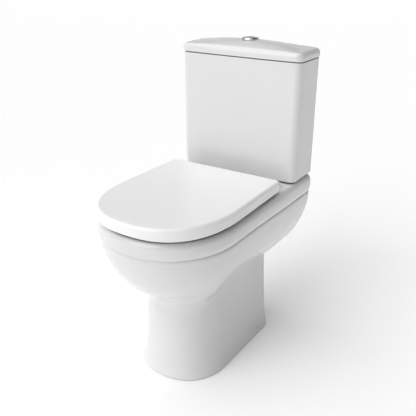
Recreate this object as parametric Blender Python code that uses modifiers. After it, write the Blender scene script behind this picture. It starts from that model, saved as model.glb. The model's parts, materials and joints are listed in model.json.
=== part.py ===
"""Close coupled toilet: china pan, cistern with a dual flush valve, and a soft D seat.

Metres, +Z up. The front faces -Y and the wall is at +Y. The origin is the middle of the
footprint box, on the floor.
"""
import math

import bmesh
import bpy
from mathutils import Matrix, Vector

# Overall frame
WALL_Y = 0.323            # back of the cistern
FRONT_Y = -0.3235         # nose of the seat lid
GAP = 0.0003              # clearance between neighbouring pieces

# Pan
RIM_TOP = 0.477
PLATFORM_TOP = 0.482      # where the cistern sits
DECK_TOP = 0.4555         # sunk deck that carries the hinges
DECK_THICK = 0.0125
DECK_HALF = 0.163
DECK_FRONT = 0.062
DECK_BACK = 0.190
GROOVE_Z = 0.431          # line under the rim band
HULL_HALF = 0.186
HULL_NOSE = -0.319
HULL_MID = -0.121         # where the straight sides start
HULL_REAR = 0.318
HULL_DEEP = 0.2345        # height of the hull's curve below the groove
NOSE_DEEP = 0.1985
HULL_ARCH = 0.024         # the underside rises by this much over the foot
HULL_SPREAD = 0.0046      # the hull is wider by this much under the cistern
CHINA = 0.010
FOOT_REAR = 0.192
FOOT_MID = -0.065

# Cistern
TANK_BOTTOM = 0.4855
TANK_TOP = 0.824
TANK_HALF = 0.190
TANK_TAPER = 0.002
TANK_FRONT = 0.191
TANK_BOW = 0.004
TANK_WALL = 0.009
TANK_CORNER = 0.020
TANK_FLOOR = TANK_BOTTOM + 0.010
LID_LIP = 0.002
LID_BOTTOM = 0.8265
LID_EDGE = 0.8490
LID_CROWN = 0.0165
LID_CAVITY = 0.0165
VALVE_Y = 0.256           # buttons, flush valve and inlet share this line

# Seat
SEAT_HALF = 0.1845
SEAT_HALF_REAR = 0.1795
SEAT_REAR = 0.131
SEAT_MID = -0.106
SEAT_BOTTOM = 0.4875
SEAT_EDGE = 0.5165
SEAT_CROWN = 0.0055
SEAT_SHELL = 0.0045
RING_BOTTOM = 0.4800
RING_TOP = 0.4985
HINGE_X = 0.0775
HINGE_Y = 0.142
HINGE_Z = 0.495
HINGE_AXIS = (0.0, HINGE_Y, HINGE_Z)
PIN_RADIUS = 0.004
BORE_RADIUS = 0.0043
KNUCKLE_RADIUS = 0.009

# Flush buttons and valves
BUTTON_TOP = 0.8705
BEZEL_TOP = 0.8695
BUTTON_RADIUS = 0.0170
ROD_X = 0.009
ROD_END = 0.8200
BOLT_X = 0.090
FILL_X = -0.145
FILL_Y = 0.262
TRAP_Z = 0.185            # height of the outlet's centre
SPIGOT_END = 0.300
SPIGOT_RADIUS = 0.051
SPIGOT_BORE = 0.042
SCREW_Y = 0.120
SCREW_Z = 0.016
SCREW_FLAT = 0.1265       # spot face on the foot for the side screw's cap
BRACKET_WIDE = 0.030

for old in list(bpy.data.objects):
    bpy.data.objects.remove(old, do_unlink=True)

toilet = bpy.data.collections.new("close_coupled_toilet")
cutters = bpy.data.collections.new("cutters")
bpy.context.scene.collection.children.link(toilet)
bpy.context.scene.collection.children.link(cutters)


def material(name, colour, roughness, metallic=0.0):
    """A Principled material with one colour."""
    made = bpy.data.materials.new(name)
    made.use_nodes = True
    shader = made.node_tree.nodes["Principled BSDF"]
    shader.inputs["Base Color"].default_value = (*colour, 1.0)
    shader.inputs["Roughness"].default_value = roughness
    shader.inputs["Metallic"].default_value = metallic
    return made


CHINA_WHITE = material("glazed_china", (0.86, 0.86, 0.85), 0.12)
SEAT_WHITE = material("seat_thermoset", (0.92, 0.92, 0.92), 0.28)
CHROME = material("chrome", (0.80, 0.80, 0.82), 0.08, 1.0)
STEEL = material("stainless_steel", (0.60, 0.60, 0.62), 0.30, 1.0)
BRASS = material("brass", (0.72, 0.56, 0.28), 0.32, 1.0)
WHITE_PLASTIC = material("white_plastic", (0.82, 0.82, 0.80), 0.45)
GREY_PLASTIC = material("grey_plastic", (0.34, 0.37, 0.40), 0.50)
BLUE_PLASTIC = material("blue_plastic", (0.12, 0.26, 0.48), 0.45)
RUBBER = material("black_rubber", (0.03, 0.03, 0.03), 0.80)
SOFT_RUBBER = material("soft_white_rubber", (0.72, 0.72, 0.70), 0.60)


# ---------------------------------------------------------------- helpers

def put(name, mesh, finish=None, at=(0.0, 0.0, 0.0)):
    """Makes an object of a mesh: a piece when it has a finish, otherwise a cutter."""
    made = bpy.data.objects.new(name, mesh)
    made.location = at
    if finish is None:
        cutters.objects.link(made)
        made.hide_render = True
        made.display_type = "WIRE"
    else:
        toilet.objects.link(made)
        mesh.materials.append(finish)
    return made


def hang(piece, point):
    """Puts a piece's origin on its joint axis; the piece itself stays where it is."""
    piece.data.transform(Matrix.Translation(-Vector(point)))
    piece.location = point
    return piece


def mesh_of(name, bm):
    bmesh.ops.recalc_face_normals(bm, faces=bm.faces)
    mesh = bpy.data.meshes.new(name)
    bm.to_mesh(mesh)
    bm.free()
    mesh.shade_smooth()
    mesh.set_sharp_from_angle(angle=math.radians(35))
    return mesh


def close_end(bm, row):
    """Caps a mirror-symmetric ring with strips that run straight across x."""
    count = len(row)
    breaks = [0]
    for i in range(1, count // 2 + 1):
        if row[i].co.y > row[breaks[-1]].co.y + 0.00001:
            breaks.append(i)
    breaks[-1] = count // 2
    for near, far in zip(breaks, breaks[1:]):
        strip = [row[i] for i in range(near, far + 1)]
        strip += [row[(count - i) % count] for i in range(far, near - 1, -1)]
        bm.faces.new(list(dict.fromkeys(strip)))


def loft(name, rings, looped=False):
    """Skins mirror-symmetric outlines of equal count and closes the ends."""
    bm = bmesh.new()
    rows = [[bm.verts.new(point) for point in ring] for ring in rings]
    count = len(rings[0])
    pairs = list(zip(rows, rows[1:]))
    if looped:
        pairs.append((rows[-1], rows[0]))
    for low, high in pairs:
        for i in range(count):
            j = (i + 1) % count
            bm.faces.new((low[i], low[j], high[j], high[i]))
    if not looped:
        close_end(bm, rows[0])
        close_end(bm, rows[-1])
    bmesh.ops.recalc_face_normals(bm, faces=bm.faces)
    bmesh.ops.triangulate(bm, faces=bm.faces)
    return mesh_of(name, bm)


def mirrored(half):
    """Closes a right-hand half outline that starts and ends on the plane x = 0."""
    return half + [(-x, y) for x, y in reversed(half[1:-1])]


def d_outline(half_rear, half_max, rear, middle, front, corner, power=2.25, arc=9, side=2):
    """A D in plan: a superellipse nose, slightly tapering sides and a straight back."""
    half = []
    for i in range(arc + 1):
        turn = math.pi / 2 * i / arc
        x = half_max * math.sin(turn) ** (2 / power)
        y = middle + (front - middle) * max(math.cos(turn), 0.0) ** (2 / power)
        half.append((x if i else 0.0, y))
    for i in range(1, side + 1):
        share = i / side
        half.append((half_max + (half_rear - half_max) * share,
                     middle + (rear - corner - middle) * share))
    for i in range(1, 4):
        turn = math.pi / 2 * i / 3
        half.append((half_rear - corner + corner * math.cos(turn),
                     rear - corner + corner * math.sin(turn)))
    half.append((0.0, rear))
    return mirrored(half)


def box_outline(half, front, rear, bow, front_corner, rear_corner):
    """A rounded box in plan whose front face is slightly bowed."""
    half_line = [(half * share, front) for share in (0.0, 0.3, 0.6)]
    for i in range(5):
        turn = math.pi / 2 * i / 4
        half_line.append((half - front_corner + front_corner * math.sin(turn),
                          front + front_corner - front_corner * math.cos(turn)))
    for i in range(4):
        turn = math.pi / 2 * i / 3
        half_line.append((half - rear_corner + rear_corner * math.cos(turn),
                          rear - rear_corner + rear_corner * math.sin(turn)))
    half_line.append((0.0, rear))
    reach = front_corner + 0.02
    bowed = []
    for x, y in half_line:
        near_front = min(max((front + reach - y) / reach, 0.0), 1.0)
        bowed.append((x, y - bow * near_front * (1 - (x / half) ** 2)))
    return mirrored(bowed)


def at_height(outline, z):
    return [(x, y, z) for x, y in outline]


def cylinder(name, radius, start, end, finish=None, sides=24, radius_end=None):
    """A closed cylinder or cone between two points."""
    start, end = Vector(start), Vector(end)
    bm = bmesh.new()
    bmesh.ops.create_cone(bm, cap_ends=True, segments=sides, radius1=radius,
                          radius2=radius if radius_end is None else radius_end,
                          depth=(end - start).length)
    turn = Vector((0, 0, 1)).rotation_difference(end - start).to_matrix().to_4x4()
    bmesh.ops.transform(bm, matrix=Matrix.Translation((start + end) / 2) @ turn, verts=bm.verts)
    return put(name, mesh_of(name, bm), finish)


def upright(name, radius, centre, bottom, top, finish=None, sides=12, radius_end=None):
    """A cylinder or cone standing at a point in plan."""
    x, y = centre
    return cylinder(name, radius, (x, y, bottom), (x, y, top), finish, sides, radius_end)


def block(name, low, high, finish=None):
    """A box between two corners."""
    low, high = Vector(low), Vector(high)
    bm = bmesh.new()
    bmesh.ops.create_cube(bm, size=1.0)
    bmesh.ops.scale(bm, vec=high - low, verts=bm.verts)
    bmesh.ops.translate(bm, vec=(low + high) / 2, verts=bm.verts)
    return put(name, mesh_of(name, bm), finish)


def pull(bm, face, push):
    """Extrudes one face by a vector."""
    grown = bmesh.ops.extrude_face_region(bm, geom=[face])["geom"]
    moved = [item for item in grown if isinstance(item, bmesh.types.BMVert)]
    bmesh.ops.translate(bm, vec=push, verts=moved)


def prism(name, profile, start, end, finish=None, axis="X"):
    """An outline extruded along X (points are y, z) or along Z (points are x, y)."""
    bm = bmesh.new()
    if axis == "X":
        corners = [bm.verts.new((start, y, z)) for y, z in profile]
        push = (end - start, 0, 0)
    else:
        corners = [bm.verts.new((x, y, start)) for x, y in profile]
        push = (0, 0, end - start)
    face = bm.faces.new(corners)
    pull(bm, face, push)
    return put(name, mesh_of(name, bm), finish)


def turned(name, profile, centre, finish=None, steps=20):
    """A ring turned about a vertical line: (radius, z) points, the outer side top to bottom."""
    mesh = bpy.data.meshes.new(name)
    points = [(radius, 0.0, z) for radius, z in profile]
    edges = [(i, (i + 1) % len(points)) for i in range(len(points))]
    mesh.from_pydata(points, edges, [])
    made = put(name, mesh, finish, at=(centre[0], centre[1], 0.0))
    screw = made.modifiers.new("turn", "SCREW")
    screw.axis = "Z"
    screw.angle = 2 * math.pi
    screw.steps = steps
    screw.render_steps = steps
    screw.use_merge_vertices = True
    screw.merge_threshold = 0.00001
    screw.use_smooth_shade = True
    return made


def sleeve(name, inner, outer, bottom, top, centre, finish=None, steps=20):
    """A plain ring or washer."""
    profile = [(outer, top), (outer, bottom), (inner, bottom), (inner, top)]
    return turned(name, profile, centre, finish, steps)


def combine(piece, others, operation):
    """Booleans a list of cutters with a piece, in order."""
    for other in others:
        step = piece.modifiers.new(other.name, "BOOLEAN")
        step.operation = operation
        step.solver = "EXACT"
        step.object = other
    return piece


def cut(piece, *others):
    return combine(piece, others, "DIFFERENCE")


def join(piece, *others):
    return combine(piece, others, "UNION")


def smooth_step(value, low, high):
    share = min(max((value - low) / (high - low), 0.0), 1.0)
    return share * share * (3 - 2 * share)


# ---------------------------------------------------------------- pan

def spread(outline, amount):
    """Widens an outline towards the back, where it has to match the cistern."""
    wide = []
    for x, y in outline:
        grow = amount * smooth_step(y, -0.05, 0.20)
        wide.append((x * (1 + grow / HULL_HALF), y))
    return wide


def hull_ring(z, half, nose, inset=0.0, rear=HULL_REAR):
    """One level of the hull, squarer at the rim than lower down.

    The top levels climb to the cistern's platform, and the underside rises over the foot.
    """
    drop = max(GROOVE_Z - z, 0.0)
    power = 2.12 - 0.14 * min(drop / 0.12, 1.0)
    outline = d_outline(half - inset, half - inset, rear, HULL_MID, nose + inset, 0.022, power)
    climb = smooth_step(z, 0.440, RIM_TOP) * (PLATFORM_TOP - RIM_TOP)
    arch = HULL_ARCH * (drop / 0.18) ** 2
    ring = []
    for x, y in spread(outline, HULL_SPREAD):
        over_foot = smooth_step(y, -0.17, -0.05) * (1 - smooth_step(y, 0.06, 0.22))
        ring.append((x, y, z + climb * smooth_step(y, 0.085, 0.165) + arch * over_foot))
    return ring


def hull_rings(inset=0.0, top=None, rear=HULL_REAR):
    """Levels from the keel up: the bowl's curve, the groove and the rounded rim band."""
    rings = []
    for drop in (0.197, 0.184, 0.160, 0.130, 0.095, 0.060, 0.028, 0.007):
        side = math.sqrt(1 - (drop / HULL_DEEP) ** 1.7)
        nose = math.sqrt(max(1 - (drop / NOSE_DEEP) ** 1.67, 0.002))
        ring = hull_ring(GROOVE_Z - drop, HULL_HALF * side,
                         HULL_MID + (HULL_NOSE - HULL_MID) * nose, inset, rear)
        rings.append([(x, y, z + inset * min(drop / 0.12, 1.0)) for x, y, z in ring])
    if top is None:
        band = ((0.000, 0.0030), (0.005, 0.0008), (0.020, -0.0026), (0.034, -0.0014),
                (0.0415, 0.0036), (0.046, 0.0110))
        for rise, tuck in band:
            rings.append(hull_ring(GROOVE_Z + rise, HULL_HALF - tuck, HULL_NOSE - 0.002 + tuck))
    else:
        level = hull_ring(GROOVE_Z, HULL_HALF, HULL_NOSE, inset, rear)
        rings.append([(x, y, top) for x, y, z in level])
    return rings


FOOT_LEVELS = ((0.000, 0.1285, 0.1270, -0.1985), (0.003, 0.1295, 0.1285, -0.2000),
               (0.014, 0.1285, 0.1260, -0.1980), (0.030, 0.1260, 0.1215, -0.1950),
               (0.056, 0.1220, 0.1165, -0.1925), (0.110, 0.1185, 0.1120, -0.1890),
               (0.180, 0.1150, 0.1080, -0.1870), (0.290, 0.1120, 0.1050, -0.1860))

BOWL_LEVELS = ((0.500, 0.112, -0.262, 0.030), (0.440, 0.112, -0.262, 0.030),
               (0.435, 0.124, -0.273, 0.036), (0.380, 0.120, -0.262, 0.050),
               (0.320, 0.104, -0.233, 0.060), (0.270, 0.083, -0.188, 0.064),
               (0.225, 0.058, -0.118, 0.060), (0.195, 0.038, -0.052, 0.046))


def foot_rings(inset=0.0):
    rings = []
    for z, half_rear, half_front, nose in FOOT_LEVELS:
        outline = d_outline(half_rear - inset, half_front - inset, FOOT_REAR - inset, FOOT_MID,
                            nose + inset, 0.024)
        rings.append(at_height(outline, z))
    if inset:
        rings[0] = [(x, y, -0.01) for x, y, z in rings[0]]
    return rings


def bowl_rings(grow=0.0):
    rings = []
    for z, half, nose, rear in BOWL_LEVELS:
        middle = (nose + rear) / 2 + 0.1 * (rear - nose)
        corner = min(half, rear - middle) * 0.92
        outline = d_outline(half + grow, half + grow, rear + grow, middle, nose - grow,
                            corner, power=2.1, arc=7, side=1)
        rings.append(at_height(outline, z))
    if grow:
        rings[0] = [(x, y, 0.455) for x, y, z in rings[0]]
        rings[-1] = [(x, y, z - grow) for x, y, z in rings[-1]]
    return rings


def smooth_route(knots, count):
    """Points evenly placed on a Catmull-Rom curve through the knots."""
    knots = [Vector(knot) for knot in knots]
    ends = [2 * knots[0] - knots[1]] + knots + [2 * knots[-1] - knots[-2]]
    points = []
    for k in range(count + 1):
        place = (len(knots) - 1) * k / count
        i = min(int(place), len(knots) - 2)
        t = place - i
        a, b, c, d = ends[i:i + 4]
        points.append(0.5 * (2 * b + (c - a) * t + (2 * a - 5 * b + 4 * c - d) * t ** 2
                             + (3 * b - a - 3 * c + d) * t ** 3))
    return points


def tube(name, points, radii, sides=14):
    """A closed tube of changing radius through points in the plane x = 0."""
    bm = bmesh.new()
    rows = []
    for i, point in enumerate(points):
        along = points[min(i + 1, len(points) - 1)] - points[max(i - 1, 0)]
        along.normalize()
        across = Vector((1, 0, 0))
        up = across.cross(along)
        rows.append([bm.verts.new(point + radii[i] * (math.cos(a) * across + math.sin(a) * up))
                     for a in (2 * math.pi * k / sides for k in range(sides))])
    for low, high in zip(rows, rows[1:]):
        for i in range(sides):
            bm.faces.new((low[i], low[(i + 1) % sides], high[(i + 1) % sides], high[i]))
    bm.faces.new(rows[0])
    bm.faces.new(rows[-1])
    return put(name, mesh_of(name, bm))


TRAP_KNOTS = ((0, -0.012, 0.236), (0, 0.034, 0.166), (0, 0.100, 0.172), (0, 0.152, 0.224),
              (0, 0.212, 0.216), (0, 0.262, TRAP_Z), (0, SPIGOT_END, TRAP_Z))


def trap(name, grow, overrun):
    """The water way from the sump over the weir to the outlet, as a solid."""
    knots = TRAP_KNOTS[:-1] + ((0, SPIGOT_END + overrun, TRAP_Z),)
    points = smooth_route(knots, 14)
    last = len(points) - 1
    points[last - 1].z = TRAP_Z
    radii = []
    for i, point in enumerate(points):
        swell = smooth_step(i, last - 5, last - 2)
        thin = 0.030 + (SPIGOT_BORE - 0.030) * swell
        thick = 0.039 + (SPIGOT_RADIUS - 0.039) * swell
        radii.append(thick if grow else thin)
    return tube(name, points, radii)


def pan():
    body = put("pan", loft("pan", hull_rings()), CHINA_WHITE)
    foot = put("cut_foot", loft("cut_foot", foot_rings()))
    join(body, foot)

    levels = hull_rings(CHINA, DECK_TOP - DECK_THICK, 0.345)
    hollow = put("cut_hollow", loft("cut_hollow", levels))
    foot_hollow = put("cut_foot_hollow", loft("cut_foot_hollow", foot_rings(CHINA)))
    bowl_wall = put("cut_bowl_wall", loft("cut_bowl_wall", bowl_rings(CHINA)))
    duct_wall = block("cut_duct_wall", (-0.040, 0.020, 0.393), (0.040, 0.300, 0.450))
    under_deck = []
    for word, side in (("left", -1), ("right", 1)):
        near, far = sorted((side * 0.066, side * 0.172))
        under_deck.append(block("cut_pocket_" + word, (near, 0.203, 0.430), (far, 0.345, 0.470)))
    around_spigot = block("cut_around_spigot", (-0.068, 0.205, 0.150), (0.068, 0.345, 0.300))
    join(hollow, foot_hollow, around_spigot, *under_deck)
    cut(hollow, bowl_wall, duct_wall)
    cut(body, hollow)
    join(body, trap("cut_trap_wall", True, 0.0))

    deck_outline = box_outline(DECK_HALF, DECK_FRONT, DECK_BACK, 0.0, 0.022, 0.022)
    deck = put("cut_deck", loft("cut_deck", [at_height(deck_outline, DECK_TOP),
                                             at_height(deck_outline, 0.520)]))
    back_door = block("cut_back_door", (-0.082, 0.160, -0.010), (0.082, 0.220, 0.130))
    bowl = put("cut_bowl", loft("cut_bowl", bowl_rings()))
    water_way = trap("cut_water_way", False, 0.02)
    duct = block("cut_duct", (-0.028, 0.030, 0.404), (0.028, 0.287, 0.434))
    inlet = upright("cut_inlet", 0.027, (0, VALVE_Y), 0.420, 0.480, sides=20)
    socket = upright("cut_socket", 0.0495, (0, VALVE_Y), 0.4652, 0.500, sides=28)
    holes = [upright("cut_tail_hole", 0.019, (FILL_X, FILL_Y), 0.450, 0.500, sides=16)]
    for word, side in (("left", -1), ("right", 1)):
        holes.append(upright("cut_bolt_hole_" + word, 0.0065, (side * BOLT_X, VALVE_Y), 0.450, 0.500))
        holes.append(upright("cut_hinge_hole_" + word, 0.006, (side * HINGE_X, HINGE_Y), 0.430, 0.470))
        outside = (side * 0.150, SCREW_Y, SCREW_Z)
        holes.append(cylinder("cut_screw_hole_" + word, 0.0032, (side * 0.095, SCREW_Y, SCREW_Z),
                              outside, sides=12))
        holes.append(cylinder("cut_spot_face_" + word, 0.0085, (side * SCREW_FLAT, SCREW_Y, SCREW_Z),
                              outside, sides=20))
    cut(body, deck, back_door, bowl, water_way, duct, socket, inlet, *holes)


def floor_fixings():
    """Angle brackets on the floor, with a capped screw through each side of the foot."""
    for word, side in (("left", -1), ("right", 1)):
        def at(x):
            return (side * (SCREW_FLAT + x), SCREW_Y, SCREW_Z)

        outer = side * (SCREW_FLAT - 0.0155)
        inner = outer - side * 0.003
        toe = outer - side * 0.036
        plate = ((outer, GAP), (outer, 0.034), (inner, 0.034), (inner, 0.0033), (toe, 0.0033),
                 (toe, GAP))
        bracket = bracket_mesh("floor_bracket_" + word, plate)
        cut(bracket, cylinder("cut_bracket_" + word, 0.0032, at(-0.03), at(0.01), sides=12))
        screw = cylinder("pan_side_screw_" + word, 0.0025, at(-0.0235), at(0.0015), STEEL, sides=12)
        join(screw, cylinder("cut_screw_head_" + word, 0.0048, at(GAP), at(0.0027), sides=16))
        cap = cylinder("pan_side_screw_cap_" + word, 0.0066, at(GAP), at(0.0045), WHITE_PLASTIC,
                       sides=20, radius_end=0.0050)
        cut(cap, cylinder("cut_cap_" + word, 0.0052, at(-0.003), at(0.0031), sides=16))


def bracket_mesh(name, plate):
    """An L section in x and z, pulled along y."""
    bm = bmesh.new()
    face = bm.faces.new([bm.verts.new((x, SCREW_Y - BRACKET_WIDE / 2, z)) for x, z in plate])
    pull(bm, face, (0, BRACKET_WIDE, 0))
    return put(name, mesh_of(name, bm), STEEL)


# ---------------------------------------------------------------- seat

def seat_outline(inset):
    return d_outline(SEAT_HALF_REAR - inset, SEAT_HALF - inset, SEAT_REAR - inset, SEAT_MID,
                     FRONT_Y + inset, 0.014, 2.4)


def dome(x, y):
    """Share of the seat lid's crown at a point in plan."""
    middle = (SEAT_REAR + FRONT_Y) / 2
    reach = (SEAT_REAR - FRONT_Y) / 2
    return (1 - (x / SEAT_HALF) ** 2) * (1 - ((y - middle) / reach) ** 2)


def crowned(outline, edge, crown, shrink):
    """An outline drawn in towards the middle and lifted onto the lid's gentle crown."""
    middle = (SEAT_REAR + FRONT_Y) / 2
    ring = []
    for x, y in outline:
        x, y = x * shrink, middle + (y - middle) * shrink
        ring.append((x, y, edge + crown * dome(x, y)))
    return ring


def seat_lid_rings(inset, drop, bottom):
    """Skirt, rounded edge and crowned top; the inside uses the same rings drawn in."""
    rings = [at_height(seat_outline(inset), bottom)]
    for rise, tuck in ((-0.0095, 0.0), (-0.0045, 0.0010), (-0.0015, 0.0034), (0.0, 0.0075)):
        rings.append(at_height(seat_outline(inset + tuck), SEAT_EDGE - drop + rise))
    for shrink in (0.88, 0.62, 0.32):
        rings.append(crowned(seat_outline(inset + 0.0075), SEAT_EDGE - drop, SEAT_CROWN, shrink))
    return rings


def leaf(name, near, far, lead, top, bottom, tail=()):
    """A hinge leaf: an arm whose end turns round the pin from one angle to another."""
    profile = list(lead)
    for i in range(13):
        turn = math.radians(top + (bottom - top) * i / 12)
        profile.append((HINGE_Y + KNUCKLE_RADIUS * math.cos(turn),
                        HINGE_Z + KNUCKLE_RADIUS * math.sin(turn)))
    return prism("cut_%s_leaf" % name, profile + list(tail), near, far)


def pin_bore(name, near, far):
    return cylinder("cut_%s_bore" % name, BORE_RADIUS, (near, HINGE_Y, HINGE_Z),
                    (far, HINGE_Y, HINGE_Z), sides=16)


def seat_lid():
    skin = loft("seat_lid", seat_lid_rings(0.0, 0.0, SEAT_BOTTOM))
    lid = hang(put("seat_lid", skin, SEAT_WHITE), HINGE_AXIS)
    inside = put("cut_lid_inside",
                 loft("cut_lid_inside", seat_lid_rings(SEAT_SHELL, SEAT_SHELL, 0.470)))
    rear_gap = block("cut_lid_rear", (-0.150, 0.105, 0.470), (0.150, 0.145, 0.5065))
    cut(lid, inside, rear_gap)
    arm = ((0.112, 0.5078), (0.112, 0.5140), (0.124, 0.5130))
    for word, side in (("left", -1), ("right", 1)):
        near, far = sorted((side * 0.0515, side * 0.0655))
        join(lid, leaf("lid_" + word, near, far, arm, 80, -200, ((0.118, 0.5078),)))
        cut(lid, pin_bore("lid_" + word, near - 0.01, far + 0.01))
    for word, side in (("left", -1), ("right", 1)):
        x, y = side * 0.118, -0.215
        ceiling = SEAT_EDGE - SEAT_SHELL + SEAT_CROWN * dome(x, y) - 0.0012
        hang(upright("lid_buffer_" + word, 0.009, (x, y), RING_TOP + 0.0006, ceiling, SOFT_RUBBER,
                     sides=14, radius_end=0.011), HINGE_AXIS)


def ring_outline(inset):
    return d_outline(0.1710 - inset, 0.1755 - inset, 0.1205 - inset, SEAT_MID, -0.3140 + inset,
                     0.016, 2.4)


def ring_hole(grow):
    return d_outline(0.098 + grow, 0.108 + grow, 0.028 + grow, -0.105, -0.252 - grow, 0.075)


def seat_ring():
    thick = RING_TOP - RING_BOTTOM
    rings = []
    for tuck, share in ((0.0030, 0.0), (0.0, 0.18), (0.0, 0.62), (0.0022, 0.88), (0.0080, 1.0)):
        rings.append(at_height(ring_outline(tuck), RING_BOTTOM + thick * share))
    for tuck, share in ((0.0100, 1.0), (0.0030, 0.84), (0.0, 0.55), (0.0, 0.18), (0.0030, 0.0)):
        rings.append(at_height(ring_hole(tuck), RING_BOTTOM + thick * share))
    ring = hang(put("seat_ring", loft("seat_ring", rings, looped=True), SEAT_WHITE), HINGE_AXIS)
    arm = ((0.108, 0.4835), (0.108, 0.4965))
    for word, side in (("left", -1), ("right", 1)):
        near, far = sorted((side * 0.0895, side * 0.1040))
        join(ring, leaf("ring_" + word, near, far, arm, 115, -115))
        cut(ring, pin_bore("ring_" + word, near - 0.01, far + 0.01))
    for word, x, y in (("front_left", -0.108, -0.246), ("front_right", 0.108, -0.246),
                       ("rear_left", -0.142, -0.010), ("rear_right", 0.142, -0.010)):
        hang(upright("ring_buffer_" + word, 0.010, (x, y), RIM_TOP + GAP, RING_BOTTOM - GAP,
                     SOFT_RUBBER, sides=14, radius_end=0.012), HINGE_AXIS)


def hinges():
    """Posts on the deck, their pins, and the bolts that hold them from below."""
    for word, side in (("left", -1), ("right", 1)):
        x = side * HINGE_X
        base = DECK_TOP + GAP
        centre = (x, HINGE_Y)
        post = upright("hinge_post_" + word, 0.019, centre, base, base + 0.006, CHROME, sides=24,
                       radius_end=0.0165)
        neck = block("cut_post_neck_" + word, (x - 0.0110, HINGE_Y - 0.009, base + 0.003),
                     (x + 0.0110, HINGE_Y + 0.009, HINGE_Z))
        crown = cylinder("cut_post_crown_" + word, 0.0090, (x - 0.0110, HINGE_Y, HINGE_Z),
                         (x + 0.0110, HINGE_Y, HINGE_Z), sides=20)
        join(post, neck, crown)
        stud_hole = upright("cut_stud_" + word, 0.0038, centre, 0.440, 0.4763)
        cut(post, pin_bore("post_" + word, x - 0.02, x + 0.02), stud_hole)
        near, far = sorted((side * 0.0505, side * 0.1050))
        cylinder("hinge_pin_" + word, PIN_RADIUS, (near, HINGE_Y, HINGE_Z), (far, HINGE_Y, HINGE_Z),
                 STEEL, sides=16)
        upright("hinge_bolt_" + word, 0.0035, centre, 0.412, 0.4760, STEEL)
        under = DECK_TOP - DECK_THICK - GAP
        sleeve("hinge_washer_" + word, 0.0038, 0.0130, under - 0.0045, under, centre, RUBBER, 16)
        wing_nut("hinge_wing_nut_" + word, centre, under - 0.0045 - GAP, 0.0038, WHITE_PLASTIC)


def wing_nut(name, centre, top, bore, finish):
    """A hub with two flat wings, screwed on from below."""
    x, y = centre
    nut = upright(name, 0.0085, centre, top - 0.011, top, finish, sides=16)
    wings = block("cut_wings_" + name, (x - 0.0018, y - 0.019, top - 0.016),
                  (x + 0.0018, y + 0.019, top - 0.004))
    join(nut, wings)
    cut(nut, upright("cut_thread_" + name, bore, centre, top - 0.030, top + 0.010))


# ---------------------------------------------------------------- cistern

def tank_outline(inset, share=1.0, lip=0.0):
    """The cistern in plan; the lid's lip overhangs at the front and sides, not at the wall."""
    half = TANK_HALF - TANK_TAPER * (1 - share) + lip
    rear = WALL_Y - (0.0005 if lip else 0.0)
    corner = max(TANK_CORNER - inset, 0.006)
    return box_outline(half - inset, TANK_FRONT - lip + inset, rear - inset, TANK_BOW, corner, corner)


def tank():
    rings = []
    for z, tuck in ((0.0, 0.0075), (0.0022, 0.0028), (0.0075, 0.0)):
        rings.append(at_height(tank_outline(tuck, 0.0), TANK_BOTTOM + z))
    rings.append(at_height(tank_outline(0.0), TANK_TOP - 0.002))
    rings.append(at_height(tank_outline(0.0015), TANK_TOP))
    body = put("cistern_tank", loft("cistern_tank", rings), CHINA_WHITE)
    hollow = loft("cut_tank_hollow", [at_height(tank_outline(TANK_WALL + 0.006, 0.0), TANK_FLOOR),
                                      at_height(tank_outline(TANK_WALL, 0.0), TANK_FLOOR + 0.006),
                                      at_height(tank_outline(TANK_WALL), TANK_TOP + 0.010)])
    holes = [upright("cut_tank_outlet", 0.0305, (0, VALVE_Y), 0.470, 0.510, sides=24),
             upright("cut_tank_inlet", 0.0085, (FILL_X, FILL_Y), 0.470, 0.510, sides=14)]
    for word, x in (("left", -BOLT_X), ("right", BOLT_X)):
        holes.append(upright("cut_tank_bolt_" + word, 0.0055, (x, VALVE_Y), 0.470, 0.510))
    cut(body, put("cut_tank_hollow", hollow), *holes)


def lid_ring(inset, edge, shrink=1.0):
    """A level of the cistern lid's crowned top."""
    outline = tank_outline(inset, lip=LID_LIP)
    middle = (TANK_FRONT + WALL_Y) / 2
    reach = (WALL_Y - TANK_FRONT) / 2 + LID_LIP
    ring = []
    for x, y in outline:
        x, y = x * shrink, middle + (y - middle) * shrink
        rise = (1 - (x / TANK_HALF) ** 2) * (1 - ((y - middle) / reach) ** 2)
        ring.append((x, y, edge + LID_CROWN * max(rise, 0.0)))
    return ring


def cistern_lid():
    """A crowned cover; a rib on its underside drops inside the tank and a foot rests on it."""
    seat = TANK_TOP + GAP
    sides = ((TANK_TOP - 0.008, 0.0125), (seat, 0.0125), (seat, 0.0080), (LID_BOTTOM, 0.0080),
             (LID_BOTTOM, 0.0012), (LID_BOTTOM + 0.0015, 0.0), (LID_EDGE - 0.0125, 0.0),
             (LID_EDGE - 0.0065, 0.0013), (LID_EDGE - 0.0025, 0.0045))
    rings = [at_height(tank_outline(tuck, lip=LID_LIP), z) for z, tuck in sides]
    rings.append(lid_ring(0.010, LID_EDGE))
    for shrink in (0.85, 0.6, 0.3):
        rings.append(lid_ring(0.010, LID_EDGE, shrink))
    lid = hang(put("cistern_lid", loft("cistern_lid", rings), CHINA_WHITE), (0, VALVE_Y, seat))
    cavity = [at_height(tank_outline(LID_CAVITY, lip=LID_LIP), 0.810),
              at_height(tank_outline(LID_CAVITY, lip=LID_LIP), LID_EDGE - 0.0125)]
    for shrink in (0.85, 0.6, 0.3):
        cavity.append(lid_ring(LID_CAVITY, LID_EDGE - 0.0110, shrink))
    hole = upright("cut_lid_hole", 0.0205, (0, VALVE_Y), 0.800, 0.900, sides=28)
    cut(lid, put("cut_lid_cavity", loft("cut_lid_cavity", cavity)), hole)


def half_disc(radius, gap, side):
    """One half of the split button in plan."""
    limit = math.acos(gap / radius)
    points = []
    for i in range(13):
        turn = -limit + 2 * limit * i / 12
        points.append((side * radius * math.cos(turn), VALVE_Y + radius * math.sin(turn)))
    return points


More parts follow.
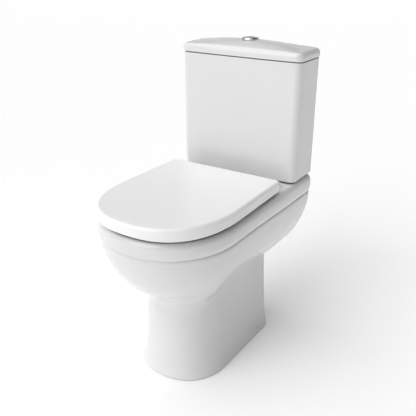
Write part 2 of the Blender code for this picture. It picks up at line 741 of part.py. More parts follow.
def spring(name, x, low, high):
    """A small compression spring round a button's rod."""
    turns, per_turn, radius = 3, 9, 0.0056
    curve = bpy.data.curves.new(name, "CURVE")
    curve.dimensions = "3D"
    curve.bevel_depth = 0.0005
    curve.bevel_resolution = 1
    curve.resolution_u = 1
    curve.use_fill_caps = True
    line = curve.splines.new("POLY")
    steps = turns * per_turn
    line.points.add(steps)
    for i in range(steps + 1):
        turn = 2 * math.pi * i / per_turn
        rise = (high - low) * i / steps
        line.points[i].co = (radius * math.cos(turn), radius * math.sin(turn), rise, 1.0)
    curve.materials.append(STEEL)
    made = bpy.data.objects.new(name, curve)
    made.location = (x, VALVE_Y, low)
    toilet.objects.link(made)


def buttons():
    centre = (0, VALVE_Y)
    bezel = turned("button_bezel", [(0.0230, BEZEL_TOP), (0.0245, BEZEL_TOP - 0.0012), (0.0245, 0.8658),
                                    (0.0200, 0.8658), (0.0200, 0.8360), (0.0172, 0.8360),
                                    (0.0172, 0.8420), (0.0012, 0.8420), (0.0012, 0.8445),
                                    (0.0176, 0.8445), (0.0176, BEZEL_TOP - 0.001), (0.0190, BEZEL_TOP)],
                   centre, CHROME, 24)
    sleeve("button_lock_nut", 0.0203, 0.0275, 0.8385, 0.8465, centre, WHITE_PLASTIC, 24)
    for name, side in (("full_flush", 1), ("half_flush", -1)):
        rod_line = (side * ROD_X, VALVE_Y)
        cut(bezel, upright("cut_%s_rod_hole" % name, 0.0045, rod_line, 0.838, 0.848, sides=14))
        button = prism(name + "_button", half_disc(BUTTON_RADIUS, 0.0005, side), 0.8610, BUTTON_TOP,
                       CHROME, axis="Z")
        join(button, upright("cut_%s_rod" % name, 0.0040, rod_line, ROD_END, 0.8630, sides=14))
        hang(button, (*rod_line, BUTTON_TOP))
        spring(name + "_button_spring", side * ROD_X, 0.8453, 0.8602)
        hang(upright(name + "_plunger", 0.0040, rod_line, 0.7780, ROD_END - 0.0005, GREY_PLASTIC,
                     sides=14), (*rod_line, ROD_END))


def flush_valve():
    centre = (0, VALVE_Y)
    sleeve("flush_valve_washer", 0.0292, 0.0370, TANK_FLOOR + GAP, TANK_FLOOR + 0.0033, centre, RUBBER)
    seat = TANK_FLOOR + 0.0036
    turned("flush_valve_base", [(0.0380, seat + 0.004), (0.0380, seat), (0.0285, seat), (0.0285, 0.4680),
                                (0.0235, 0.4680), (0.0235, seat + 0.004)], centre, WHITE_PLASTIC, 28)
    sleeve("flush_valve_nut", 0.0292, 0.0370, 0.4735, TANK_BOTTOM - GAP, centre, WHITE_PLASTIC, 24)
    sleeve("doughnut_washer", 0.0373, 0.0490, 0.4655, TANK_BOTTOM - GAP, centre, RUBBER, 24)
    low = seat + 0.0043
    tower = turned("flush_valve_tower", [(0.0300, 0.7900), (0.0300, low), (0.0262, low), (0.0262, 0.7850),
                                         (0.0020, 0.7850), (0.0020, 0.7900)], centre, BLUE_PLASTIC, 20)
    wide, narrow = 0.050, 0.014
    for word, bottom, top in (("low", low + 0.006, 0.545), ("high", 0.600, 0.760)):
        cut(tower, block("cut_%s_window_x" % word, (-wide, VALVE_Y - narrow, bottom),
                         (wide, VALVE_Y + narrow, top)),
            block("cut_%s_window_y" % word, (-narrow, VALVE_Y - wide, bottom),
                  (narrow, VALVE_Y + wide, top)))
    for word, x in (("half", -ROD_X), ("full", ROD_X)):
        cut(tower, upright("cut_%s_guide" % word, 0.0045, (x, VALVE_Y), 0.770, 0.800, sides=14))
    sleeve("overflow_tube", 0.0105, 0.0130, low + 0.0002, 0.7400, centre, WHITE_PLASTIC, 20)
    sleeve("flush_valve_seal", 0.0133, 0.0252, low + 0.0002, low + 0.0040, centre, RUBBER, 24)


def coupling_bolts():
    for word, x in (("left", -BOLT_X), ("right", BOLT_X)):
        centre = (x, VALVE_Y)
        sleeve("coupling_washer_" + word, 0.0043, 0.0130, TANK_FLOOR + GAP, TANK_FLOOR + 0.0033, centre,
               RUBBER, 16)
        head = TANK_FLOOR + 0.0036
        bolt = upright("coupling_bolt_" + word, 0.0040, centre, 0.443, head + 0.002, BRASS, sides=14)
        join(bolt, upright("cut_bolt_head_" + word, 0.0100, centre, head, head + 0.005, sides=16))
        wing_nut("coupling_wing_nut_" + word, centre, 0.470 - GAP, 0.0043, BRASS)


def fill_valve():
    centre = (FILL_X, FILL_Y)
    sleeve("fill_valve_washer", 0.0073, 0.0145, TANK_FLOOR + GAP, TANK_FLOOR + 0.0028, centre, RUBBER, 16)
    seat = TANK_FLOOR + 0.0031
    turned("fill_valve_body", [(0.0110, 0.7000), (0.0110, seat + 0.0045), (0.0155, seat + 0.0045),
                               (0.0155, seat), (0.0070, seat), (0.0070, 0.4300), (0.0040, 0.4300),
                               (0.0040, 0.7000)], centre, WHITE_PLASTIC, 20)
    nut = upright("fill_valve_nut", 0.0140, centre, 0.474, TANK_BOTTOM - GAP, BRASS, sides=6)
    cut(nut, upright("cut_fill_nut", 0.0075, centre, 0.470, 0.490, sides=20))
    head = upright("fill_valve_head", 0.0190, centre, 0.7003, 0.7440, BLUE_PLASTIC, sides=24)
    for i, side in enumerate((-1, 1)):
        near, far = sorted((FILL_Y + side * 0.0043, FILL_Y + side * 0.0073))
        join(head, block("cut_cheek_%d" % i, (FILL_X - 0.005, near, 0.7400),
                         (FILL_X + 0.005, far, 0.7570)))
    cup = turned("float_cup", [(0.0300, 0.6800), (0.0300, 0.6000), (0.0280, 0.6000), (0.0280, 0.6760),
                               (0.0145, 0.6760), (0.0145, 0.6000), (0.0125, 0.6000), (0.0125, 0.6800)],
                 centre, GREY_PLASTIC, 24)
    join(cup, upright("cut_float_rod", 0.0015, (FILL_X + 0.0265, FILL_Y), 0.677, 0.756, sides=10))
    arm = ((-0.0060, -0.0025), (0.0235, -0.0025), (0.0235, 0.0025), (-0.0060, 0.0025))
    lever = prism("float_lever", arm, -0.0039, 0.0039, WHITE_PLASTIC)
    lever.data.transform(Matrix.Rotation(-math.pi / 2, 4, "Z"))
    lever.location = (FILL_X, FILL_Y, 0.7520)


pan()
floor_fixings()
seat_ring()
seat_lid()
hinges()
tank()
cistern_lid()
buttons()
flush_valve()
coupling_bolts()
fill_valve()
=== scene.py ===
import json
import math

import bmesh
import bpy
import numpy as np
from mathutils import Matrix, Vector


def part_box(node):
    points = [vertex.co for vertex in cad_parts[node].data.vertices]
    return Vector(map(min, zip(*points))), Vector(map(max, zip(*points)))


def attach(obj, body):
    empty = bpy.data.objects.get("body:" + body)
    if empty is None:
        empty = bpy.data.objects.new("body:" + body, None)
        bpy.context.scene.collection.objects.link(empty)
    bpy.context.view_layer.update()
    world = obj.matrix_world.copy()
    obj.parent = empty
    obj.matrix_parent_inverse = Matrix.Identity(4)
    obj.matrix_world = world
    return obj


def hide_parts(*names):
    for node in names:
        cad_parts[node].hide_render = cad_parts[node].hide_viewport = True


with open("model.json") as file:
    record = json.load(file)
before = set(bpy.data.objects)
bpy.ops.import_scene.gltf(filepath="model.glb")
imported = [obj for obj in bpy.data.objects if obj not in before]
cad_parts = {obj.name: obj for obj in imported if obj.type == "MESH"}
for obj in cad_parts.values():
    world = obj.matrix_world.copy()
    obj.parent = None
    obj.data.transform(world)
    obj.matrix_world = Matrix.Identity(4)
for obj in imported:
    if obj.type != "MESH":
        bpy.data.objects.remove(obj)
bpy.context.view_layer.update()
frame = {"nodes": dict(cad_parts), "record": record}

# Sizes in metres, shared with the CAD part.
WALL_Y = 0.323              # back of the cistern
FRONT_Y = -0.3235           # nose of the seat lid
GAP = 0.0003                # clearance between neighbouring pieces
RIM_TOP = 0.477
PLATFORM_TOP = 0.482        # where the cistern sits
DECK_TOP = 0.4555           # sunk deck that carries the hinges
GROOVE_Z = 0.431            # line under the rim band
HULL_HALF = 0.186
HULL_NOSE = -0.319
HULL_MID = -0.121           # where the rounded front starts
HULL_REAR = 0.318
HULL_DEEP = 0.2345          # height of the hull's curve below the groove
NOSE_DEEP = 0.1985
HULL_ARCH = 0.024           # how far its low levels are raised over the foot
HULL_SPREAD = 0.0046        # how far each flank spreads towards the back
CHINA = 0.010               # wall thickness of the pan
FOOT_REAR = 0.192
FOOT_MID = -0.065
TANK_BOTTOM = 0.4855
TANK_TOP = 0.824
TANK_HALF = 0.190
TANK_TAPER = 0.002
TANK_FRONT = 0.191
TANK_BOW = 0.004
TANK_WALL = 0.009
TANK_CORNER = 0.020
TANK_FLOOR = 0.4955
LID_LIP = 0.002             # overhang of the cistern lid
LID_BOTTOM = 0.8265
LID_EDGE = 0.8490
LID_CROWN = 0.0165
VALVE_Y = 0.256
SEAT_HALF = 0.1845
SEAT_HALF_REAR = 0.1795
SEAT_REAR = 0.131
SEAT_MID = -0.106
SEAT_BOTTOM = 0.4875
SEAT_EDGE = 0.5165
SEAT_CROWN = 0.0055
SEAT_SHELL = 0.0045
RING_BOTTOM = 0.4800
RING_TOP = 0.4985
HINGE_X = 0.0775
HINGE_Y = 0.142
HINGE_Z = 0.495
KNUCKLE = 0.009
BUTTON_TOP = 0.8705
BEZEL_TOP = 0.8695
BUTTON_RADIUS = 0.0170
ROD_X = 0.009
ROD_END = 0.8200
BOLT_X = 0.090
FILL_X = -0.145
FILL_Y = 0.262
TRAP_Z = 0.185
SPIGOT_END = 0.300
SPIGOT_RADIUS = 0.051
SPIGOT_BORE = 0.042
SCREW_Y = 0.120
SCREW_Z = 0.016
SCREW_FLAT = 0.1265
CENTRE_Y = -0.020           # the pan's skin is measured outwards from here

# Painted shade: colours are darkened where another surface stands close, as shade falls in seams and gaps.
GAP_SHADE_SHUT = 0.15            # openness where the painted shade in a gap is darkest
GAP_SHADE_OPEN = 0.62            # and where the painted shade ends
GAP_SHADE_GREY = (0.035, 0.035, 0.035, 1.0)
CREASE = 0.0025             # rounding of the crease over the foot
CREASE_FRONT = 0.0245       # softer by this much all over the front
CREASE_NOSE = 0.0200        # and by this much more at the nose

# Camera, lights and surroundings.
LENS_MM = 610.2 / 416 * 36
CAMERA_PLACE = (0.855, -1.2959, 1.1111)
CAMERA_DOWN = 23.4
CAMERA_TURN = 32.7
WHITE = (1.0, 1.0, 1.0, 1.0)
SUNS = (("overhead", 15, -60, 60, 1.42),        # name, slope, turn, spread, power
        ("front", 54, -16, 46, 1.36),
        ("side", 60, -75, 46, 0.42))
WORLD_GLOW = 0.08
FLOOR_SIZE = 30.0
FLOOR_GLOW = 0.20
WALL_GLOW = (0.56, 0.20)    # at its left and right ends
WALL_RADIUS = 29.5
WALL_HEIGHT = 11.0

FOOT_LEVELS = ((0.000, 0.1285, 0.1270, -0.1985), (0.003, 0.1295, 0.1285, -0.2000),
               (0.014, 0.1285, 0.1260, -0.1980), (0.030, 0.1260, 0.1215, -0.1950),
               (0.056, 0.1220, 0.1165, -0.1925), (0.110, 0.1185, 0.1120, -0.1890),
               (0.180, 0.1150, 0.1080, -0.1870), (0.290, 0.1120, 0.1050, -0.1860),
               (0.400, 0.1100, 0.1030, -0.1850))

BOWL_LEVELS = ((0.440, 0.112, -0.262, 0.030), (0.435, 0.124, -0.273, 0.036),
               (0.380, 0.120, -0.262, 0.050), (0.320, 0.104, -0.233, 0.060),
               (0.270, 0.083, -0.188, 0.064), (0.225, 0.058, -0.118, 0.060),
               (0.195, 0.038, -0.052, 0.046))


# ---------------------------------------------------------------- helpers

def smooth_step(value, low, high):
    share = np.clip((value - low) / (high - low), 0.0, 1.0)
    return share * share * (3 - 2 * share)


def pair(name):
    return ((name + "_left", -1), (name + "_right", 1))


def quarter(steps):
    """Sine and cosine at even steps over a quarter turn."""
    turns = [math.pi / 2 * i / steps for i in range(steps + 1)]
    return [(math.sin(turn), math.cos(turn)) for turn in turns]


def through(knots, at):
    """Smooth values read from a table of rows at positions along its first column."""
    knots = sorted(knots)
    place = [row[0] for row in knots]
    out = []
    for a in at:
        a = min(max(a, place[0]), place[-1])
        i = max(min(int(np.searchsorted(place, a, side="right")) - 1, len(knots) - 2), 0)
        span = place[i + 1] - place[i]
        t = (a - place[i]) / span
        row = []
        for c in range(1, len(knots[0])):
            p1, p2 = knots[i][c], knots[i + 1][c]
            left = knots[max(i - 1, 0)]
            right = knots[min(i + 2, len(knots) - 1)]
            m1 = (p2 - left[c]) / max(place[i + 1] - left[0], 1e-9) * span
            m2 = (right[c] - p1) / max(right[0] - place[i], 1e-9) * span
            if (p2 - p1) * m1 < 0:
                m1 = 0.0
            if (p2 - p1) * m2 < 0:
                m2 = 0.0
            row.append((2 * t ** 3 - 3 * t * t + 1) * p1 + (t ** 3 - 2 * t * t + t) * m1
                       + (3 * t * t - 2 * t ** 3) * p2 + (t ** 3 - t * t) * m2)
        out.append(row)
    return np.array(out)


def link(name, mesh):
    made = bpy.data.objects.new(name, mesh)
    bpy.context.scene.collection.objects.link(made)
    return made


def mesh_of(name, bm, sharp=35):
    bmesh.ops.recalc_face_normals(bm, faces=bm.faces)
    mesh = bpy.data.meshes.new(name)
    bm.to_mesh(mesh)
    bm.free()
    mesh.shade_smooth()
    mesh.set_sharp_from_angle(angle=math.radians(sharp))
    return mesh


def close_end(bm, row):
    """Caps a mirror-symmetric ring with strips that run straight across x."""
    count = len(row)
    breaks = [0]
    for i in range(1, count // 2 + 1):
        if row[i].co.y > row[breaks[-1]].co.y + 0.00001:
            breaks.append(i)
    breaks[-1] = count // 2
    for near, far in zip(breaks, breaks[1:]):
        strip = [row[i] for i in range(near, far + 1)]
        strip += [row[(count - i) % count] for i in range(far, near - 1, -1)]
        bm.faces.new(list(dict.fromkeys(strip)))


def loft(name, rings, looped=False):
    """Skins outlines of equal count and closes the ends."""
    bm = bmesh.new()
    rows = [[bm.verts.new(point) for point in ring] for ring in rings]
    count = len(rings[0])
    pairs = list(zip(rows, rows[1:]))
    if looped:
        pairs.append((rows[-1], rows[0]))
    for low, high in pairs:
        for i in range(count):
            j = (i + 1) % count
            bm.faces.new((low[i], low[j], high[j], high[i]))
    if not looped:
        close_end(bm, rows[0])
        close_end(bm, rows[-1])
    bmesh.ops.recalc_face_normals(bm, faces=bm.faces)
    bmesh.ops.triangulate(bm, faces=bm.faces)
    return link(name, mesh_of(name, bm))


def mirrored(half):
    return half + [(-x, y) for x, y in reversed(half[1:-1])]


def d_outline(half_rear, half_max, rear, middle, front, corner, power=2.25, arc=40, side=20, turns=8,
              back=6):
    """A D in plan: a superellipse nose, slightly tapering sides and a straight back."""
    half = []
    for i, (sine, cosine) in enumerate(quarter(arc)):
        x = half_max * sine ** (2 / power)
        y = middle + (front - middle) * max(cosine, 0.0) ** (2 / power)
        half.append((x if i else 0.0, y))
    for i in range(1, side + 1):
        share = i / side
        half.append((half_max + (half_rear - half_max) * share,
                     middle + (rear - corner - middle) * share))
    for sine, cosine in quarter(turns)[1:]:
        half.append((half_rear - corner + corner * cosine, rear - corner + corner * sine))
    for i in range(1, back + 1):
        half.append(((half_rear - corner) * (1 - i / back), rear))
    return mirrored(half)


def box_outline(half, front, rear, bow, front_corner, rear_corner, across=14, turns=12):
    """A rounded box in plan whose front face is slightly bowed."""
    half_line = [((half - front_corner) * i / across, front) for i in range(across)]
    for sine, cosine in quarter(turns):
        half_line.append((half - front_corner + front_corner * sine,
                          front + front_corner - front_corner * cosine))
    for i in range(1, 4):
        half_line.append((half, front + front_corner
                          + (rear - rear_corner - front - front_corner) * i / 4))
    for sine, cosine in quarter(turns):
        half_line.append((half - rear_corner + rear_corner * cosine,
                          rear - rear_corner + rear_corner * sine))
    half_line += [((half - rear_corner) * (1 - i / 6), rear) for i in range(1, 7)]
    reach = front_corner + 0.02
    bowed = []
    for x, y in half_line:
        near_front = min(max((front + reach - y) / reach, 0.0), 1.0)
        bowed.append((x, y - bow * near_front * (1 - (x / half) ** 2)))
    return mirrored(bowed)


def at_height(outline, z):
    return [(x, y, z) for x, y in outline]


def cylinder(name, radius, start, end, sides=32):
    start, end = Vector(start), Vector(end)
    bm = bmesh.new()
    bmesh.ops.create_cone(bm, cap_ends=True, segments=sides, radius1=radius, radius2=radius,
                          depth=(end - start).length)
    turn = Vector((0, 0, 1)).rotation_difference(end - start).to_matrix().to_4x4()
    bmesh.ops.transform(bm, matrix=Matrix.Translation((start + end) / 2) @ turn, verts=bm.verts)
    return link(name, mesh_of(name, bm))


def upright(name, radius, centre, bottom, top, sides=32):
    x, y = centre
    return cylinder(name, radius, (x, y, bottom), (x, y, top), sides)


def block(name, low, high, bevel=0.0):
    low, high = Vector(low), Vector(high)
    bm = bmesh.new()
    bmesh.ops.create_cube(bm, size=1.0)
    bmesh.ops.scale(bm, vec=high - low, verts=bm.verts)
    bmesh.ops.translate(bm, vec=(low + high) / 2, verts=bm.verts)
    if bevel:
        bmesh.ops.bevel(bm, geom=list(bm.edges), offset=bevel, segments=3, profile=0.5,
                        affect="EDGES")
    return link(name, mesh_of(name, bm))


def spun(name, profile, centre, steps, closed=True):
    """A profile of (radius, z) points turned about a vertical line."""
    bm = bmesh.new()
    rows = []
    for k in range(steps):
        turn = 2 * math.pi * k / steps
        rows.append([bm.verts.new((centre[0] + r * math.cos(turn), centre[1] + r * math.sin(turn), z))
                     for r, z in profile])
    count = len(profile)
    for k in range(steps):
        a, b = rows[k], rows[(k + 1) % steps]
        for i in range(count if closed else count - 1):
            j = (i + 1) % count
            bm.faces.new((a[i], a[j], b[j], b[i]))
    bmesh.ops.remove_doubles(bm, verts=bm.verts, dist=0.00002)
    return link(name, mesh_of(name, bm))


def rounded(points, radius, steps=5):
    """Rounds the corners of a closed profile; radius has one number for each corner."""
    out = []
    count = len(points)
    for i, point in enumerate(points):
        here = Vector(point)
        before = Vector(points[(i - 1) % count]) - here
        after = Vector(points[(i + 1) % count]) - here
        if radius[i] <= 0:
            out.append(tuple(here))
            continue
        cut = min(radius[i], before.length * 0.49, after.length * 0.49)
        a = here + before.normalized() * cut
        b = here + after.normalized() * cut
        for k in range(steps + 1):
            t = k / steps
            spot = (1 - t) ** 2 * a + 2 * t * (1 - t) * here + t * t * b
            out.append(tuple(spot))
    return out


def bake(piece, cutters):
    """Turns a piece's modifiers into its mesh and deletes the shapes that cut it."""
    graph = bpy.context.evaluated_depsgraph_get()
    mesh = bpy.data.meshes.new_from_object(piece.evaluated_get(graph))
    old = piece.data
    piece.modifiers.clear()
    piece.data = mesh
    mesh.name = piece.name
    bpy.data.meshes.remove(old)
    for cutter in cutters:
        data = cutter.data
        bpy.data.objects.remove(cutter, do_unlink=True)
        bpy.data.meshes.remove(data)
    mesh.shade_smooth()
    mesh.set_sharp_from_angle(angle=math.radians(35))
    return piece


def combine(piece, others, operation):
    for other in others:
        step = piece.modifiers.new(other.name, "BOOLEAN")
        step.operation = operation
        step.solver = "EXACT"
        step.object = other
    return piece


def cut(piece, *others):
    return bake(combine(piece, others, "DIFFERENCE"), others)


def join(piece, *others):
    return bake(combine(piece, others, "UNION"), others)


def weigh(piece):
    """Flat faces keep flat shading next to their rounded edges."""
    step = piece.modifiers.new("normals", "WEIGHTED_NORMAL")
    step.keep_sharp = True
    step.weight = 60
    return piece


# ---------------------------------------------------------------- materials

def nodes_of(name):
    made = bpy.data.materials.new(name)
    made.use_nodes = True
    tree = made.node_tree
    return made, tree, tree.nodes["Principled BSDF"]


def noise(tree, scale, detail=2.0, rough=0.5, stretch=None):
    coords = tree.nodes.new("ShaderNodeTexCoord")
    node = tree.nodes.new("ShaderNodeTexNoise")
    node.inputs["Scale"].default_value = scale
    node.inputs["Detail"].default_value = detail
    node.inputs["Roughness"].default_value = rough
    if stretch:
        mapping = tree.nodes.new("ShaderNodeMapping")
        mapping.inputs["Scale"].default_value = stretch
        tree.links.new(coords.outputs["Object"], mapping.inputs["Vector"])
        tree.links.new(mapping.outputs["Vector"], node.inputs["Vector"])
    else:
        tree.links.new(coords.outputs["Object"], node.inputs["Vector"])
    return node.outputs["Fac"]


def spread_between(tree, fac, low, high, low_at=0.15, high_at=0.85):
    """Maps a noise value onto a range."""
    node = tree.nodes.new("ShaderNodeMapRange")
    node.interpolation_type = "SMOOTHSTEP"
    node.inputs["From Min"].default_value = low_at
    node.inputs["From Max"].default_value = high_at
    node.inputs["To Min"].default_value = low
    node.inputs["To Max"].default_value = high
    tree.links.new(fac, node.inputs["Value"])
    return node.outputs["Result"]


def mix_colours(tree, fac, a, b):
    node = tree.nodes.new("ShaderNodeMix")
    node.data_type = "RGBA"
    node.inputs["A"].default_value = (*a, 1.0)
    node.inputs["B"].default_value = (*b, 1.0)
    tree.links.new(fac, node.inputs["Factor"])
    return node.outputs["Result"]


def bump(tree, shader, height, strength, distance, normal=None):
    node = tree.nodes.new("ShaderNodeBump")
    node.inputs["Strength"].default_value = strength
    node.inputs["Distance"].default_value = distance
    tree.links.new(height, node.inputs["Height"])
    if normal:
        tree.links.new(normal, node.inputs["Normal"])
    tree.links.new(node.outputs["Normal"], shader.inputs["Normal"])
    return node.outputs["Normal"]


def paint_gap_shade(tree, colour, reach, depth):
    """Paints shade into a colour inside seams and gaps, where other surfaces stand closer than the reach.
    """
    opening = tree.nodes.new("ShaderNodeAmbientOcclusion")
    opening.samples = 8
    opening.inputs["Distance"].default_value = reach
    shade_amount = tree.nodes.new("ShaderNodeMapRange")
    tree.links.new(opening.outputs["AO"], shade_amount.inputs["Value"])
    for key, value in (("From Min", GAP_SHADE_SHUT), ("From Max", GAP_SHADE_OPEN), ("To Min", depth),
                       ("To Max", 0.0)):
        shade_amount.inputs[key].default_value = value
    mix = tree.nodes.new("ShaderNodeMix")
    mix.data_type = "RGBA"
    tree.links.new(shade_amount.outputs["Result"], mix.inputs["Factor"])
    tree.links.new(colour, mix.inputs["A"])
    mix.inputs["B"].default_value = GAP_SHADE_GREY
    return mix.outputs["Result"]


def surface(name, colour, darker, roughness, metallic=0.0, patch=12.0, grain=400.0, grain_depth=0.0,
            wave=0.0, wave_scale=9.0, stretch=None, coat=0.0, ior=1.5, detail=3.0, gap_shade=None):
    """A procedural surface: patchy colour, uneven gloss, slow waviness, a fine grain and, if asked,
    painted shade in seams and gaps.
    """
    made, tree, shader = nodes_of(name)
    fac = spread_between(tree, noise(tree, patch, detail), 0.0, 1.0)
    tint = mix_colours(tree, fac, colour, darker)
    # painted shade: the colour darkens in seams and gaps where shade falls
    if gap_shade:
        tint = paint_gap_shade(tree, tint, *gap_shade)
    tree.links.new(tint, shader.inputs["Base Color"])
    low, high = roughness
    tree.links.new(spread_between(tree, noise(tree, patch * 2.3, detail), low, high),
                   shader.inputs["Roughness"])
    shader.inputs["Metallic"].default_value = metallic
    shader.inputs["IOR"].default_value = ior
    shader.inputs["Coat Weight"].default_value = coat
    shader.inputs["Coat Roughness"].default_value = 0.04
    normal = None
    if wave:
        normal = bump(tree, shader, noise(tree, wave_scale, 1.0), wave, 0.01)
    if grain_depth:
        bump(tree, shader, noise(tree, grain, 2.0, 0.6, stretch), grain_depth, 0.0005, normal)
    return made


SLOTS = {
    "glazed_china": surface("white_glaze", (0.80, 0.80, 0.80), (0.785, 0.785, 0.785), (0.10, 0.17),
        patch=7.0, grain=260.0, grain_depth=0.015, wave=0.014, wave_scale=11.0, coat=0.15, detail=0.0,
        # painted shade in the seams and gaps of the china
        gap_shade=(0.006, 0.95)),
    "seat_thermoset": surface("seat_thermoset", (0.965, 0.965, 0.965), (0.950, 0.950, 0.950),
        (0.30, 0.33), patch=420.0, grain=500.0, grain_depth=0.012, wave=0.008, wave_scale=8.0,
        # painted shade in the gaps round the seat
        gap_shade=(0.012, 0.95)),
    "chrome": surface("polished_chrome", (0.86, 0.87, 0.88), (0.80, 0.81, 0.83), (0.03, 0.08), 1.0,
        patch=60.0, grain=1500.0, grain_depth=0.02),
    "stainless_steel": surface("stainless_steel", (0.62, 0.61, 0.60), (0.50, 0.50, 0.50), (0.22, 0.38),
        1.0, patch=90.0, grain=900.0, grain_depth=0.15, stretch=(1.0, 1.0, 0.05)),
    "brass": surface("brass", (0.72, 0.55, 0.27), (0.58, 0.42, 0.20), (0.25, 0.42), 1.0, patch=120.0,
        grain=1200.0, grain_depth=0.15),
    "white_plastic": surface("white_plastic", (0.83, 0.83, 0.81), (0.77, 0.77, 0.75), (0.35, 0.50),
        patch=60.0, grain=1800.0, grain_depth=0.12),
    "grey_plastic": surface("grey_plastic", (0.30, 0.33, 0.36), (0.25, 0.28, 0.31), (0.40, 0.55),
        patch=60.0, grain=1800.0, grain_depth=0.15),
    "blue_plastic": surface("blue_plastic", (0.10, 0.24, 0.48), (0.08, 0.19, 0.40), (0.35, 0.50),
        patch=60.0, grain=1800.0, grain_depth=0.15),
    "black_rubber": surface("black_rubber", (0.025, 0.025, 0.025), (0.05, 0.05, 0.05), (0.65, 0.85),
        patch=90.0, grain=1500.0, grain_depth=0.3),
    "soft_white_rubber": surface("soft_white_rubber", (0.72, 0.72, 0.70), (0.64, 0.64, 0.62),
        (0.50, 0.65), patch=90.0, grain=1500.0, grain_depth=0.2),
}

NODE_SLOT = {row["node"]: row["material_slot"] for row in frame["record"]["subparts"]}
NODE_BODY = {node: body for body, members in frame["record"]["behaviour"]["bodies"].items()
             for node in members}


def stand_for(piece, node):
    """The piece takes a CAD node's place, its body and its finish."""
    slot = NODE_SLOT[node]
    piece.data.materials.clear()
    piece.data.materials.append(SLOTS[slot])
    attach(piece, NODE_BODY[node])
    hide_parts(node)
    return piece


# ---------------------------------------------------------------- pan

def spread(x, y, amount):
    return x * (1 + amount * smooth_step(y, -0.05, 0.20) / HULL_HALF)


def hull_outline(z, half, nose, inset=0.0, rear=HULL_REAR, fine=True):
    drop = max(GROOVE_Z - z, 0.0)
    power = 2.12 - 0.14 * min(drop / 0.12, 1.0)
    counts = {"arc": 90, "side": 60, "turns": 20, "back": 16} if fine else {"arc": 24, "side": 14}
    outline = np.array(d_outline(half - inset, half - inset, rear, HULL_MID, nose + inset, 0.022, power,
                                 **counts))
    outline[:, 0] = spread(outline[:, 0], outline[:, 1], HULL_SPREAD)
    return outline


def hull_lift(z, y):
    """How much a point of the hull's level is raised: towards the platform, and over the foot."""
    climb = smooth_step(z, 0.440, RIM_TOP) * (PLATFORM_TOP - RIM_TOP)
    arch = HULL_ARCH * (max(GROOVE_Z - z, 0.0) / 0.18) ** 2
    over_foot = smooth_step(y, -0.17, -0.05) * (1 - smooth_step(y, 0.06, 0.22))
    return climb * smooth_step(y, 0.085, 0.165) + arch * over_foot


def hull_size(drop):
    side = math.sqrt(1 - (drop / HULL_DEEP) ** 1.7)
    nose = math.sqrt(max(1 - (drop / NOSE_DEEP) ** 1.67, 0.002))
    return HULL_HALF * side, HULL_MID + (HULL_NOSE - HULL_MID) * nose


def polar(outline, angles):
    """Distance from the centre line to a convex outline in each direction."""
    points = np.array(outline) - (0.0, CENTRE_Y)
    turn = np.arctan2(points[:, 1], points[:, 0])
    order = np.argsort(turn)
    points, turn = points[order], turn[order]
    wrapped = (np.asarray(angles) + math.pi) % (2 * math.pi) - math.pi
    after = np.searchsorted(turn, wrapped) % len(turn)
    first, along = points[after - 1], points[after] - points[after - 1]
    ray = np.column_stack([np.cos(wrapped), np.sin(wrapped)])
    return ((first[:, 0] * along[:, 1] - first[:, 1] * along[:, 0])
            / (ray[:, 0] * along[:, 1] - ray[:, 1] * along[:, 0]))


def pan_angles():
    """Directions round the pan, nose to back on the right and then back to the nose."""
    outline = hull_outline(0.44, HULL_HALF, HULL_NOSE)
    half = outline[:len(outline) // 2 + 1]
    steps = np.hypot(*np.diff(half, axis=0).T)
    along = np.concatenate([[0], np.cumsum(steps)])
    even = np.linspace(0, along[-1], 96)
    x = np.interp(even, along, half[:, 0])
    y = np.interp(even, along, half[:, 1]) - CENTRE_Y
    turn = np.degrees(np.arctan2(y, x))
    turn = [t for t in turn if not 56 < t < 70] + list(np.linspace(56.5, 69.5, 22))
    turn = sorted(set(round(t, 5) for t in turn))
    right = np.radians(turn)
    left = np.pi - right[1:-1][::-1]
    return np.concatenate([right, left])


BAND = ((0.000, 0.0030), (0.005, 0.0008), (0.012, -0.0016), (0.020, -0.0026), (0.028, -0.0024),
        (0.034, -0.0014), (0.0385, 0.0008), (0.0425, 0.0042), (0.0450, 0.0082), (0.046, 0.0125))


